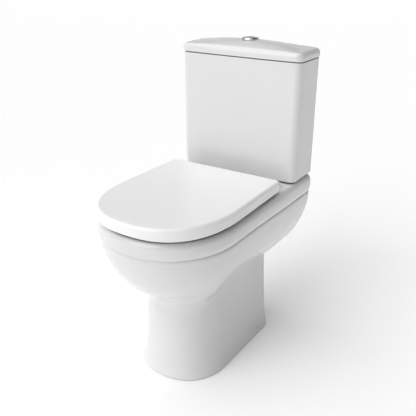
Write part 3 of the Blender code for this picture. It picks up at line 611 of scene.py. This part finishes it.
def pan_skin():
    """The pan's outer skin as one grid: rim band, groove, hull, crease and foot."""
    angles = pan_angles()
    count = len(angles)
    cosine, sine = np.cos(angles), np.sin(angles)

    def level(z, half, nose, tuck=0.0):
        reach = polar(hull_outline(z, half - tuck, nose + tuck), angles)
        y = CENTRE_Y + reach * sine
        return reach, z + hull_lift(z, y)

    rings = []
    rises = [0.046, 0.0457, 0.0450, 0.0440, 0.0425, 0.0405, 0.0385, 0.0360, 0.033, 0.029, 0.025, 0.020,
             0.016, 0.012, 0.009, 0.0065, 0.0045, 0.003, 0.0016, 0.0006]
    for rise, (tuck,) in zip(rises, through(BAND, rises)):
        rings.append(level(GROOVE_Z + rise, HULL_HALF, HULL_NOSE - 0.002, tuck))

    drops = np.concatenate([[0.0, 0.0006, 0.0014, 0.0025, 0.004, 0.006], np.linspace(0.009, 0.197, 70)])
    reach, height = [], []
    for drop in drops:
        half, nose = hull_size(drop)
        r, z = level(GROOVE_Z - drop, half, nose, 0.0032 * math.exp(-(drop / 0.0028) ** 1.3))
        reach.append(r)
        height.append(z)
    reach, height = np.array(reach), np.array(height)

    foot_z = np.concatenate([np.linspace(0.0, 0.06, 25), np.linspace(0.065, 0.36, 60)])
    foot_r = []
    for half_rear, half_front, nose in through(FOOT_LEVELS, foot_z):
        outline = d_outline(half_rear, half_front, FOOT_REAR, FOOT_MID, nose, 0.024, arc=90, side=60,
                            turns=20, back=16)
        foot_r.append(polar(outline, angles))
    foot_r = np.array(foot_r)

    spread_out, in_corner, down = 44, 17, 22
    columns = np.zeros((count, spread_out + in_corner + down, 2))
    for i in range(count):
        here = np.interp(height[:, i], foot_z, foot_r[:, i])
        gap = reach[:, i] - here
        low = np.nonzero((gap < 0) & (height[:, i] < 0.35))[0]
        if len(low):
            k = low[0]
            t = gap[k - 1] / (gap[k - 1] - gap[k])
            corner = np.array([reach[k - 1, i] + t * (reach[k, i] - reach[k - 1, i]),
                               height[k - 1, i] + t * (height[k, i] - height[k - 1, i])])
            upper = np.column_stack([reach[:k, i], height[:k, i]])
        else:
            upper = np.column_stack([reach[:, i], height[:, i]])
            corner = np.array([here[-1], height[-1, i]])
        z = np.linspace(corner[1], 0.060, 60)
        lower = np.column_stack([np.interp(z, foot_z, foot_r[:, i]), z])
        front = abs(math.degrees(math.atan2(cosine[i], -sine[i])))
        soft = (CREASE + CREASE_FRONT * (1 - smooth_step(front, 50, 84))
                + CREASE_NOSE * (1 - smooth_step(front, 24, 54)))
        path = np.vstack([upper, corner, lower[1:]])
        steps = np.hypot(*np.diff(path, axis=0).T)
        along = np.concatenate([[0], np.cumsum(steps)])
        at = along[len(upper)]
        soft = min(soft, at * 0.45)

        def spot(where):
            return np.column_stack([np.interp(where, along, path[:, 0]),
                                    np.interp(where, along, path[:, 1])])

        before, start, end, after = spot([at - soft - 0.002, at - soft, at + soft, at + soft + 0.002])
        reach_in = start + (start - before) * 0.62 * soft / np.linalg.norm(start - before)
        reach_out = end - (after - end) * 0.62 * soft / np.linalg.norm(after - end)
        t = np.linspace(0, 1, in_corner)[:, None]
        turn = ((1 - t) ** 3 * start + 3 * (1 - t) ** 2 * t * reach_in
                + 3 * (1 - t) * t * t * reach_out + t ** 3 * end)
        above = spot(np.linspace(0, at - soft, spread_out + 1)[:-1])
        below = spot(np.linspace(at + soft, along[-1], down + 1)[1:])
        columns[i] = np.vstack([above, turn, below])
    for k in range(columns.shape[1]):
        rings.append((columns[:, k, 0], columns[:, k, 1]))
    for z in (0.054, 0.047, 0.040, 0.034, 0.028, 0.022, 0.017, 0.0125, 0.009, 0.006, 0.0035, 0.0016,
              0.0005, 0.0):
        ring = np.array([np.interp(z, foot_z, foot_r[:, i]) for i in range(count)])
        shrink = 1 - 0.010 * (1 - min(z / 0.0035, 1.0)) ** 2
        rings.append((ring * shrink, np.full(count, z)))
    points = [[(r * c, CENTRE_Y + r * s, h) for r, h, c, s in zip(rr, hh, cosine, sine)]
              for rr, hh in rings]
    for ring in points:
        for i in (0, count // 2):
            ring[i] = (0.0, ring[i][1], ring[i][2])
        for i in range(1, count // 2):
            x, y, z = ring[i]
            ring[count - i] = (-x, y, z)
    return loft("pan_fine", points)


def coarse_hull(inset, top, rear):
    rings = []
    for drop in (0.197, 0.184, 0.160, 0.130, 0.095, 0.060, 0.028, 0.007):
        half, nose = hull_size(drop)
        z = GROOVE_Z - drop
        outline = hull_outline(z, half, nose, inset, rear, fine=False)
        rings.append([(x, y, z + hull_lift(z, y) + inset * min(drop / 0.12, 1.0)) for x, y in outline])
    outline = hull_outline(GROOVE_Z, HULL_HALF, HULL_NOSE, inset, rear, fine=False)
    rings.append(at_height(outline, top))
    return rings


def foot_hollow_rings(inset):
    rings = []
    for z, half_rear, half_front, nose in FOOT_LEVELS[:-1]:
        outline = d_outline(half_rear - inset, half_front - inset, FOOT_REAR - inset, FOOT_MID,
                            nose + inset, 0.024, arc=24, side=8)
        rings.append(at_height(outline, z))
    rings[0] = [(x, y, -0.01) for x, y, z in rings[0]]
    return rings


def bowl_outline(half, nose, rear, grow):
    middle = (nose + rear) / 2 + 0.1 * (rear - nose)
    corner = min(half, rear - middle) * 0.92
    return d_outline(half + grow, half + grow, rear + grow, middle, nose - grow, corner, power=2.1,
                     arc=36, side=6, turns=16, back=4)


def bowl_rings(grow=0.0, fine=True):
    heights = [0.440, 0.4385, 0.4365, 0.435, 0.431]
    heights += list(np.linspace(0.424, 0.205, 30)) + [0.200, 0.197, 0.195]
    if not fine:
        heights = [row[0] for row in BOWL_LEVELS]
    rings = []
    for z, (half, nose, rear) in zip(heights, through(BOWL_LEVELS, heights)):
        rings.append(at_height(bowl_outline(half, nose, rear, grow), z))
    return rings


def trumpet(outline_at, low, high, flare):
    """Rings from a lower edge up through a rounded mouth that opens onto the surface at high."""
    rings = [at_height(outline_at(0.0), low)]
    for sine, cosine in quarter(7):
        rings.append(at_height(outline_at(flare * (1 - cosine)), high - flare + flare * sine))
    rings.append(at_height(outline_at(flare * 1.02), high + 0.06))
    return rings


def smooth_route(knots, count):
    knots = [Vector(knot) for knot in knots]
    ends = [2 * knots[0] - knots[1]] + knots + [2 * knots[-1] - knots[-2]]
    points = []
    for k in range(count + 1):
        place = (len(knots) - 1) * k / count
        i = min(int(place), len(knots) - 2)
        t = place - i
        a, b, c, d = ends[i:i + 4]
        points.append(0.5 * (2 * b + (c - a) * t + (2 * a - 5 * b + 4 * c - d) * t ** 2
                             + (3 * b - a - 3 * c + d) * t ** 3))
    return points


def tube(name, points, radii, sides=40):
    """A closed tube of changing radius through points in the plane x = 0."""
    bm = bmesh.new()
    rows = []
    for i, point in enumerate(points):
        along = points[min(i + 1, len(points) - 1)] - points[max(i - 1, 0)]
        along.normalize()
        across = Vector((1, 0, 0))
        up = across.cross(along)
        rows.append([bm.verts.new(point + radii[i] * (math.cos(a) * across + math.sin(a) * up))
                     for a in (2 * math.pi * k / sides for k in range(sides))])
    for low, high in zip(rows, rows[1:]):
        for i in range(sides):
            bm.faces.new((low[i], low[(i + 1) % sides], high[(i + 1) % sides], high[i]))
    bm.faces.new(rows[0])
    bm.faces.new(rows[-1])
    return link(name, mesh_of(name, bm))


TRAP_KNOTS = ((0, -0.012, 0.236), (0, 0.034, 0.166), (0, 0.100, 0.172), (0, 0.152, 0.224),
              (0, 0.212, 0.216), (0, 0.262, TRAP_Z), (0, SPIGOT_END, TRAP_Z))


def trap(name, outer, overrun):
    knots = TRAP_KNOTS[:-1] + ((0, SPIGOT_END + overrun, TRAP_Z),)
    points = smooth_route(knots, 14)
    last = len(points) - 1
    points[last - 1].z = TRAP_Z
    radii = []
    for i in range(len(points)):
        swell = float(smooth_step(i, last - 5, last - 2))
        thin = 0.030 + (SPIGOT_BORE - 0.030) * swell
        thick = 0.039 + (SPIGOT_RADIUS - 0.039) * swell
        radii.append(thick if outer else thin)
    return tube(name, points, radii)


def make_pan():
    body = pan_skin()
    hollow = loft("hollow", coarse_hull(CHINA, DECK_TOP - 0.0125, 0.345))
    foot = loft("foot_hollow", foot_hollow_rings(CHINA))
    extra = [block("pocket_%d" % side, (min(side * 0.066, side * 0.172), 0.203, 0.430),
                   (max(side * 0.066, side * 0.172), 0.345, 0.470)) for side in (-1, 1)]
    extra.append(block("around_spigot", (-0.068, 0.205, 0.150), (0.068, 0.345, 0.300)))
    join(hollow, foot, *extra)
    walls = bowl_rings(CHINA, fine=False)
    walls[0] = [(x, y, 0.455) for x, y, z in walls[0]]
    walls[-1] = [(x, y, z - CHINA) for x, y, z in walls[-1]]
    cut(hollow, loft("bowl_wall", walls),
        block("duct_wall", (-0.040, 0.020, 0.393), (0.040, 0.300, 0.450)))
    cut(body, hollow)
    join(body, trap("trap_wall", True, 0.0))

    def deck_at(grow):
        return box_outline(0.163 + grow, 0.062 - grow, 0.190 + min(grow, 0.0), 0.0, 0.022 + grow, 0.022,
                           turns=10)

    floor_round = 0.007
    deck = []
    for sine, cosine in quarter(5):
        deck.append(at_height(deck_at(-floor_round * (1 - sine)), DECK_TOP + floor_round * (1 - cosine)))
    flare = 0.0045
    for sine, cosine in quarter(6):
        ring = []
        for x, y in deck_at(flare * (1 - cosine)):
            top = RIM_TOP + (PLATFORM_TOP - RIM_TOP) * float(smooth_step(y, 0.085, 0.165))
            ring.append((x, y, top - flare + flare * sine))
        deck.append(ring)
    deck.append(at_height(deck_at(flare * 1.02), 0.540))
    holes = [loft("deck", deck),
             block("back_door", (-0.082, 0.160, -0.010), (0.082, 0.220, 0.130)),
             loft("bowl", bowl_rings()[::-1]),
             loft("bowl_mouth", trumpet(
                 lambda grow: bowl_outline(*BOWL_LEVELS[0][1:], grow), 0.436, RIM_TOP, 0.008)),
             trap("water_way", False, 0.02),
             block("duct", (-0.028, 0.030, 0.404), (0.028, 0.287, 0.434)),
             upright("inlet", 0.027, (0, VALVE_Y), 0.420, 0.480),
             upright("socket", 0.0495, (0, VALVE_Y), 0.4652, 0.500, 48),
             upright("tail", 0.019, (FILL_X, FILL_Y), 0.450, 0.500)]
    for side in (-1, 1):
        holes.append(upright("bolt_%d" % side, 0.0065, (side * BOLT_X, VALVE_Y), 0.450, 0.500))
        holes.append(upright("hinge_%d" % side, 0.006, (side * HINGE_X, HINGE_Y), 0.430, 0.470))
        outside = (side * 0.150, SCREW_Y, SCREW_Z)
        for word, radius, start in (("screw", 0.0032, 0.095), ("spot", 0.0085, SCREW_FLAT)):
            holes.append(cylinder("%s_%d" % (word, side), radius, (side * start, SCREW_Y, SCREW_Z),
                                  outside))
    for hole in holes:
        cut(body, hole)
    return stand_for(weigh(body), "pan")


# ---------------------------------------------------------------- seat

def seat_outline(inset):
    return d_outline(SEAT_HALF_REAR - inset, SEAT_HALF - inset, SEAT_REAR - inset, SEAT_MID,
                     FRONT_Y + inset, 0.014, 2.4, arc=64, side=26, turns=10, back=20)


def dome(x, y):
    """Share of the seat lid's crown at a point in plan."""
    middle = (SEAT_REAR + FRONT_Y) / 2
    reach = (SEAT_REAR - FRONT_Y) / 2
    return (1 - (x / SEAT_HALF) ** 2) * (1 - ((y - middle) / reach) ** 2)


def crowned(outline, edge, crown, shrink):
    """An outline drawn in towards the middle and lifted onto the lid's gentle crown."""
    middle = (SEAT_REAR + FRONT_Y) / 2
    ring = []
    for x, y in outline:
        x, y = x * shrink, middle + (y - middle) * shrink
        ring.append((x, y, edge + crown * dome(x, y)))
    return ring


def seat_lid_rings(inset, drop, bottom):
    """Skirt, rounded edge and crowned top; the inside uses the same rings drawn in."""
    rings = []
    if not inset:
        rings.append(at_height(seat_outline(0.0012), bottom))
        rings.append(at_height(seat_outline(0.0004), bottom + 0.0006))
        rings.append(at_height(seat_outline(0.0), bottom + 0.0016))
    else:
        rings.append(at_height(seat_outline(inset), bottom))
    edge = SEAT_EDGE - drop
    radius = 0.0095
    deepest = 0.0085
    rings += [at_height(seat_outline(inset), bottom + (edge - radius - bottom) * s) for s in (0.35, 0.7)]
    for i, (sine, cosine) in enumerate(quarter(12)):
        rise = -radius + radius * sine
        outline = seat_outline(inset + deepest * (1 - cosine))
        rings.append([(x, y, edge + rise + SEAT_CROWN * dome(x, y) * (i / 12) ** 2) for x, y in outline])
    for shrink in (0.985, 0.96, 0.92, 0.86, 0.78, 0.68, 0.56, 0.42, 0.28, 0.14):
        rings.append(crowned(seat_outline(inset + deepest), edge, SEAT_CROWN, shrink))
    return rings


def leaf(name, near, far, lead, top, bottom, tail=()):
    """A hinge leaf: an arm whose end turns round the pin from one angle to another."""
    profile = list(lead)
    for i in range(33):
        turn = math.radians(top + (bottom - top) * i / 32)
        profile.append((HINGE_Y + KNUCKLE * math.cos(turn), HINGE_Z + KNUCKLE * math.sin(turn)))
    profile += list(tail)
    bm = bmesh.new()
    face = bm.faces.new([bm.verts.new((near, y, z)) for y, z in profile])
    grown = bmesh.ops.extrude_face_region(bm, geom=[face])["geom"]
    moved = [item for item in grown if isinstance(item, bmesh.types.BMVert)]
    bmesh.ops.translate(bm, vec=(far - near, 0, 0), verts=moved)
    return link(name, mesh_of(name, bm))


def bore(name, near, far):
    return cylinder(name, 0.0043, (near, HINGE_Y, HINGE_Z), (far, HINGE_Y, HINGE_Z))


def make_seat_lid():
    lid = loft("seat_lid_fine", seat_lid_rings(0.0, 0.0, SEAT_BOTTOM))
    inside = loft("lid_inside", seat_lid_rings(SEAT_SHELL, SEAT_SHELL, 0.470))
    rear = block("lid_rear", (-0.150, 0.105, 0.470), (0.150, 0.145, 0.5065))
    cut(lid, inside, rear)
    arm = ((0.112, 0.5078), (0.112, 0.5140), (0.124, 0.5130))
    for side in (-1, 1):
        near, far = sorted((side * 0.0515, side * 0.0655))
        join(lid, leaf("lid_leaf", near, far, arm, 80, -200, ((0.118, 0.5078),)))
        cut(lid, bore("lid_bore", near - 0.01, far + 0.01))
    return stand_for(weigh(lid), "seat_lid")


def ring_outline(inset):
    return d_outline(0.1710 - inset, 0.1755 - inset, 0.1205 - inset, SEAT_MID, -0.3140 + inset, 0.016, 2.4,
                     arc=60, side=26, turns=14, back=16)


def ring_hole(grow):
    """The hole's outline with the same count of points as the outside."""
    return d_outline(0.098 + grow, 0.108 + grow, 0.028 + grow, -0.105, -0.252 - grow, 0.075,
                     arc=60, side=26, turns=14, back=16)


def make_seat_ring():
    rings = []
    for sine, cosine in quarter(4):
        rings.append(at_height(ring_outline(0.003 * (1 - sine)), RING_BOTTOM + 0.003 * (1 - cosine)))
    for sine, cosine in quarter(8):
        rings.append(at_height(ring_outline(0.008 * (1 - cosine)), RING_TOP - 0.006 + 0.006 * sine))
    for sine, cosine in quarter(8):
        rings.append(at_height(ring_hole(0.010 * (1 - sine)), RING_TOP - 0.009 * (1 - cosine)))
    for sine, cosine in quarter(4):
        rings.append(at_height(ring_hole(0.003 * (1 - cosine)), RING_BOTTOM + 0.004 - 0.004 * sine))
    ring = loft("seat_ring_fine", rings, looped=True)
    arm = ((0.108, 0.4835), (0.108, 0.4965))
    for side in (-1, 1):
        near, far = sorted((side * 0.0895, side * 0.1040))
        join(ring, leaf("ring_leaf", near, far, arm, 115, -115))
        cut(ring, bore("ring_bore", near - 0.01, far + 0.01))
    return stand_for(weigh(ring), "seat_ring")


def buffer(node, spot, foot, top, low, high):
    """A soft pad that widens from its rounded foot to the face it is fixed to."""
    profile = rounded([(0.0, low), (foot, low), (top, high), (0.0, high)], [0, 0.0025, 0.001, 0])
    stand_for(spun(node + "_fine", profile, spot, 40, closed=False), node)


def buffers():
    spots = {"ring_buffer_front_left": (-0.108, -0.246), "ring_buffer_front_right": (0.108, -0.246),
             "ring_buffer_rear_left": (-0.142, -0.010), "ring_buffer_rear_right": (0.142, -0.010)}
    for node, spot in spots.items():
        buffer(node, spot, 0.0100, 0.0118, RIM_TOP + GAP, RING_BOTTOM - GAP)
    for node, side in pair("lid_buffer"):
        x, y = side * 0.118, -0.215
        ceiling = SEAT_EDGE - SEAT_SHELL + SEAT_CROWN * dome(x, y) - 0.0012
        buffer(node, (x, y), 0.009, 0.0108, RING_TOP + 0.0006, ceiling)


def hinge_posts():
    for node, side in pair("hinge_post"):
        x = side * HINGE_X
        base = DECK_TOP + GAP
        profile = rounded([(0.0, base), (0.0190, base), (0.0185, base + 0.0035), (0.0165, base + 0.0058),
                           (0.0, base + 0.0062)], [0, 0.0006, 0.002, 0.003, 0])
        post = spun(node + "_fine", profile, (x, HINGE_Y), 64, closed=False)
        near, far = x - 0.0110, x + 0.0110
        neck = block("neck", (near, HINGE_Y - 0.0088, base + 0.003), (far, HINGE_Y + 0.0088, HINGE_Z),
                     0.0012)
        crown = cylinder("crown", 0.0090, (near, HINGE_Y, HINGE_Z), (far, HINGE_Y, HINGE_Z), 48)
        join(post, neck, crown)
        cut(post, bore("post_bore", x - 0.02, x + 0.02),
            upright("stud", 0.0038, (x, HINGE_Y), 0.440, 0.4763))
        stand_for(weigh(post), node)


# ---------------------------------------------------------------- cistern

def tank_outline(inset, share=1.0, lip=0.0):
    half = TANK_HALF - TANK_TAPER * (1 - share) + lip
    rear = WALL_Y - (0.0005 if lip else 0.0)
    corner = max(TANK_CORNER - inset, 0.006)
    return box_outline(half - inset, TANK_FRONT - lip + inset, rear - inset, TANK_BOW, corner, corner)


def make_tank():
    rings = []
    foot_round = 0.0075
    for sine, cosine in quarter(8):
        rings.append(at_height(tank_outline(foot_round * (1 - sine), 0.0),
                               TANK_BOTTOM + foot_round * (1 - cosine)))
    for share in (0.25, 0.5, 0.75):
        rings.append(at_height(tank_outline(0.0, share), TANK_BOTTOM + (TANK_TOP - TANK_BOTTOM) * share))
    for sine, cosine in quarter(5):
        rings.append(at_height(tank_outline(0.002 * (1 - cosine)), TANK_TOP - 0.002 + 0.002 * sine))
    body = loft("cistern_tank_fine", rings)
    hollow = [at_height(tank_outline(TANK_WALL + 0.006 * (1 - sine), 0.0),
                        TANK_FLOOR + 0.006 * (1 - cosine)) for sine, cosine in quarter(5)]
    hollow.append(at_height(tank_outline(TANK_WALL), TANK_TOP + 0.010))
    holes = [loft("tank_hollow", hollow),
             upright("outlet", 0.0305, (0, VALVE_Y), 0.470, 0.510, 48),
             upright("inlet", 0.0085, (FILL_X, FILL_Y), 0.470, 0.510)]
    for side in (-1, 1):
        holes.append(upright("bolt_%d" % side, 0.0055, (side * BOLT_X, VALVE_Y), 0.470, 0.510))
    cut(body, *holes)
    return stand_for(weigh(body), "cistern_tank")


def lid_ring(inset, edge, shrink=1.0, crown=1.0):
    """A level of the cistern lid, drawn in towards the middle and lifted onto its crown."""
    outline = tank_outline(inset, lip=LID_LIP)
    middle = (TANK_FRONT + WALL_Y) / 2
    reach = (WALL_Y - TANK_FRONT) / 2 + LID_LIP
    ring = []
    for x, y in outline:
        x, y = x * shrink, middle + (y - middle) * shrink
        rise = (1 - (x / TANK_HALF) ** 2) * (1 - ((y - middle) / reach) ** 2)
        ring.append((x, y, edge + LID_CROWN * crown * max(rise, 0.0)))
    return ring


def make_cistern_lid():
    seat = TANK_TOP + GAP
    rings = [at_height(tank_outline(tuck, lip=LID_LIP), z)
             for z, tuck in ((TANK_TOP - 0.008, 0.0140), (TANK_TOP - 0.0065, 0.0125), (seat, 0.0125),
                             (seat, 0.0080), (LID_BOTTOM, 0.0080))]
    for sine, cosine in quarter(4):
        rings.append(at_height(tank_outline(0.0018 * (1 - sine), lip=LID_LIP),
                               LID_BOTTOM + 0.0018 * (1 - cosine)))
    low, radius = LID_EDGE - 0.0125, 0.0125
    rings.append(at_height(tank_outline(0.0, lip=LID_LIP), (LID_BOTTOM + low) / 2))
    for i, (sine, cosine) in enumerate(quarter(12)):
        rings.append(lid_ring(0.010 * (1 - cosine), low + radius * sine, 1.0, (i / 12) ** 3))
    for shrink in (0.975, 0.94, 0.88, 0.80, 0.70, 0.58, 0.45, 0.30, 0.15):
        rings.append(lid_ring(0.010, LID_EDGE, shrink))
    lid = loft("cistern_lid_fine", rings)
    inner = 0.0165
    cavity = [at_height(tank_outline(inner, lip=LID_LIP), 0.810),
              at_height(tank_outline(inner, lip=LID_LIP), LID_EDGE - 0.0125)]
    for shrink in (0.9, 0.8, 0.6, 0.4, 0.2):
        cavity.append(lid_ring(inner, LID_EDGE - 0.0110, shrink))
    cut(lid, loft("lid_cavity", cavity),
        upright("lid_hole", 0.0205, (0, VALVE_Y), 0.800, 0.900, 64))
    return stand_for(weigh(lid), "cistern_lid")


def make_buttons():
    """The chrome bezel and the two half-round buttons in it, each slightly dished."""
    centre = (0, VALVE_Y)
    top = BEZEL_TOP
    profile = rounded([(0.0228, top), (0.0245, top - 0.0016), (0.0245, 0.8658), (0.0200, 0.8658),
                       (0.0200, 0.8360), (0.0172, 0.8360), (0.0172, 0.8420), (0.0012, 0.8420),
                       (0.0012, 0.8445), (0.0176, 0.8445), (0.0176, top - 0.0016), (0.0186, top)],
                      [0.0012, 0.0012, 0.0003, 0, 0, 0, 0, 0, 0, 0, 0.0009, 0.0009], 4)
    bezel = spun("button_bezel_fine", profile, centre, 96)
    for side in (-1, 1):
        cut(bezel, upright("rod_hole", 0.0045, (side * ROD_X, VALVE_Y), 0.838, 0.848))
    stand_for(weigh(bezel), "button_bezel")
    for node, side in (("full_flush_button", 1), ("half_flush_button", -1)):
        split = 0.0005
        outline = []
        limit = math.acos(split / BUTTON_RADIUS)
        for i in range(41):
            turn = -limit + 2 * limit * i / 40
            outline.append(Vector((BUTTON_RADIUS * math.cos(turn), BUTTON_RADIUS * math.sin(turn))))
        middle = Vector((0.0070, 0.0))
        bm = bmesh.new()
        rows = []
        for z, tuck in ((0.8610, 0.0), (0.8660, 0.0), (BUTTON_TOP - 0.0010, 0.0),
                        (BUTTON_TOP - 0.0004, 0.0003), (BUTTON_TOP - 0.0001, 0.0008),
                        (BUTTON_TOP, 0.0014), (BUTTON_TOP - 0.0002, 0.0026),
                        (BUTTON_TOP - 0.0006, 0.0042), (BUTTON_TOP - 0.0009, 0.0060)):
            row = []
            for p in outline:
                away = p - middle
                q = p - away.normalized() * min(tuck * 1.1, away.length * 0.9)
                row.append(bm.verts.new((side * q.x, VALVE_Y + q.y, z)))
            rows.append(row)
        for a, b in zip(rows, rows[1:]):
            for i in range(len(a)):
                j = (i + 1) % len(a)
                bm.faces.new((a[i], a[j], b[j], b[i]))
        bm.faces.new(rows[0])
        bm.faces.new(rows[-1])
        button = link(node + "_fine", mesh_of(node, bm, 40))
        join(button, upright("rod", 0.0040, (side * ROD_X, VALVE_Y), ROD_END, 0.8630))
        stand_for(weigh(button), node)


def make_springs():
    for node, side in (("full_flush_button_spring", 1), ("half_flush_button_spring", -1)):
        low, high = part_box(node)
        wire = 0.0005
        bottom, top = low.z + wire, high.z - wire
        turns, radius = 5, 0.0056
        curve = bpy.data.curves.new(node + "_fine", "CURVE")
        curve.dimensions = "3D"
        curve.bevel_depth = wire
        curve.bevel_resolution = 3
        curve.use_fill_caps = True
        steps = turns * 24
        line = curve.splines.new("POLY")
        line.points.add(steps)
        for i in range(steps + 1):
            turn = 2 * math.pi * turns * i / steps
            share = i / steps
            flat = float(smooth_step(share, 0.04, 0.96))
            line.points[i].co = (side * ROD_X + radius * math.cos(turn), VALVE_Y + radius * math.sin(turn),
                                 bottom + (top - bottom) * flat, 1.0)
        stand_for(link(node + "_fine", curve), node)


def side_caps():
    """The small domed caps over the two screws at the foot."""
    for node, side in pair("pan_side_screw_cap"):
        profile = rounded([(0.0052, 0.0), (0.0066, 0.0), (0.0064, 0.0022), (0.0050, 0.0040), (0.0, 0.0045),
                           (0.0, 0.0031), (0.0044, 0.0029), (0.0052, 0.0022)],
                          [0, 0.0003, 0.0008, 0.0018, 0, 0, 0, 0.0004])
        cap = spun(node + "_fine", profile, (0, 0), 48, closed=True)
        turn = Matrix.Rotation(side * math.pi / 2, 4, "Y")
        place = Matrix.Translation((side * (SCREW_FLAT + GAP), SCREW_Y, SCREW_Z))
        cap.data.transform(place @ turn)
        stand_for(weigh(cap), node)


make_pan()
make_seat_lid()
make_seat_ring()
buffers()
hinge_posts()
make_tank()
make_cistern_lid()
make_buttons()
make_springs()
side_caps()

for node, shape in frame["nodes"].items():
    shape.data.materials.clear()
    shape.data.materials.append(SLOTS[NODE_SLOT[node]])


# ---------------------------------------------------------------- stage

def floor():
    bm = bmesh.new()
    bmesh.ops.create_grid(bm, x_segments=8, y_segments=8, size=FLOOR_SIZE)
    bmesh.ops.translate(bm, vec=(0, 0, -0.0002), verts=bm.verts)
    ground = link("studio_floor", mesh_of("studio_floor", bm))
    pale = surface("pale_floor", (0.93, 0.93, 0.93), (0.925, 0.925, 0.925), (0.75, 0.85), patch=1.5,
                   ior=1.2, detail=0.0)
    glow = pale.node_tree.nodes["Principled BSDF"].inputs
    glow["Emission Color"].default_value = WHITE
    glow["Emission Strength"].default_value = FLOOR_GLOW
    ground.data.materials.append(pale)


def backdrop():
    """A far, low wall all round that hides the horizon; its right side is darker."""
    bm = bmesh.new()
    edge = [(WALL_RADIUS * math.cos(math.pi * i / 48), WALL_RADIUS * math.sin(math.pi * i / 48))
            for i in range(96)]
    low, high = ([bm.verts.new((x, y, z)) for x, y in edge] for z in (-0.01, WALL_HEIGHT))
    for i in range(96):
        bm.faces.new((low[i - 1], high[i - 1], high[i], low[i]))
    wall = link("studio_wall", mesh_of("studio_wall", bm))
    made, tree, shader = nodes_of("pale_wall")
    place = tree.nodes.new("ShaderNodeTexCoord")
    split = tree.nodes.new("ShaderNodeSeparateXYZ")
    tree.links.new(place.outputs["Object"], split.inputs["Vector"])
    glow = spread_between(tree, split.outputs["X"], *WALL_GLOW, -FLOOR_SIZE, FLOOR_SIZE)
    tree.links.new(glow, shader.inputs["Emission Strength"])
    shader.inputs["Base Color"].default_value = (0.02, 0.02, 0.02, 1.0)
    shader.inputs["Emission Color"].default_value = WHITE
    shader.inputs["Roughness"].default_value = 0.9
    wall.data.materials.append(made)


def sun(name, slope, turn, spread, power):
    light = bpy.data.lights.new(name, "SUN")
    light.angle = math.radians(spread)
    light.energy = power
    made = bpy.data.objects.new(name, light)
    made.rotation_euler = (math.radians(slope), 0, math.radians(turn))
    bpy.context.scene.collection.objects.link(made)


floor()
backdrop()
for row in SUNS:
    sun(*row)

world = bpy.data.worlds.new("studio")
world.use_nodes = True
sky = world.node_tree.nodes["Background"].inputs
sky["Color"].default_value = WHITE
sky["Strength"].default_value = WORLD_GLOW
bpy.context.scene.world = world
bpy.context.scene.view_settings.view_transform = "Standard"

camera = bpy.data.cameras.new("camera")
camera.lens = LENS_MM
camera.sensor_width = 36
view = bpy.data.objects.new("camera", camera)
view.location = CAMERA_PLACE
view.rotation_euler = (math.radians(90 - CAMERA_DOWN), 0, math.radians(CAMERA_TURN))
bpy.context.scene.collection.objects.link(view)
bpy.context.scene.camera = view
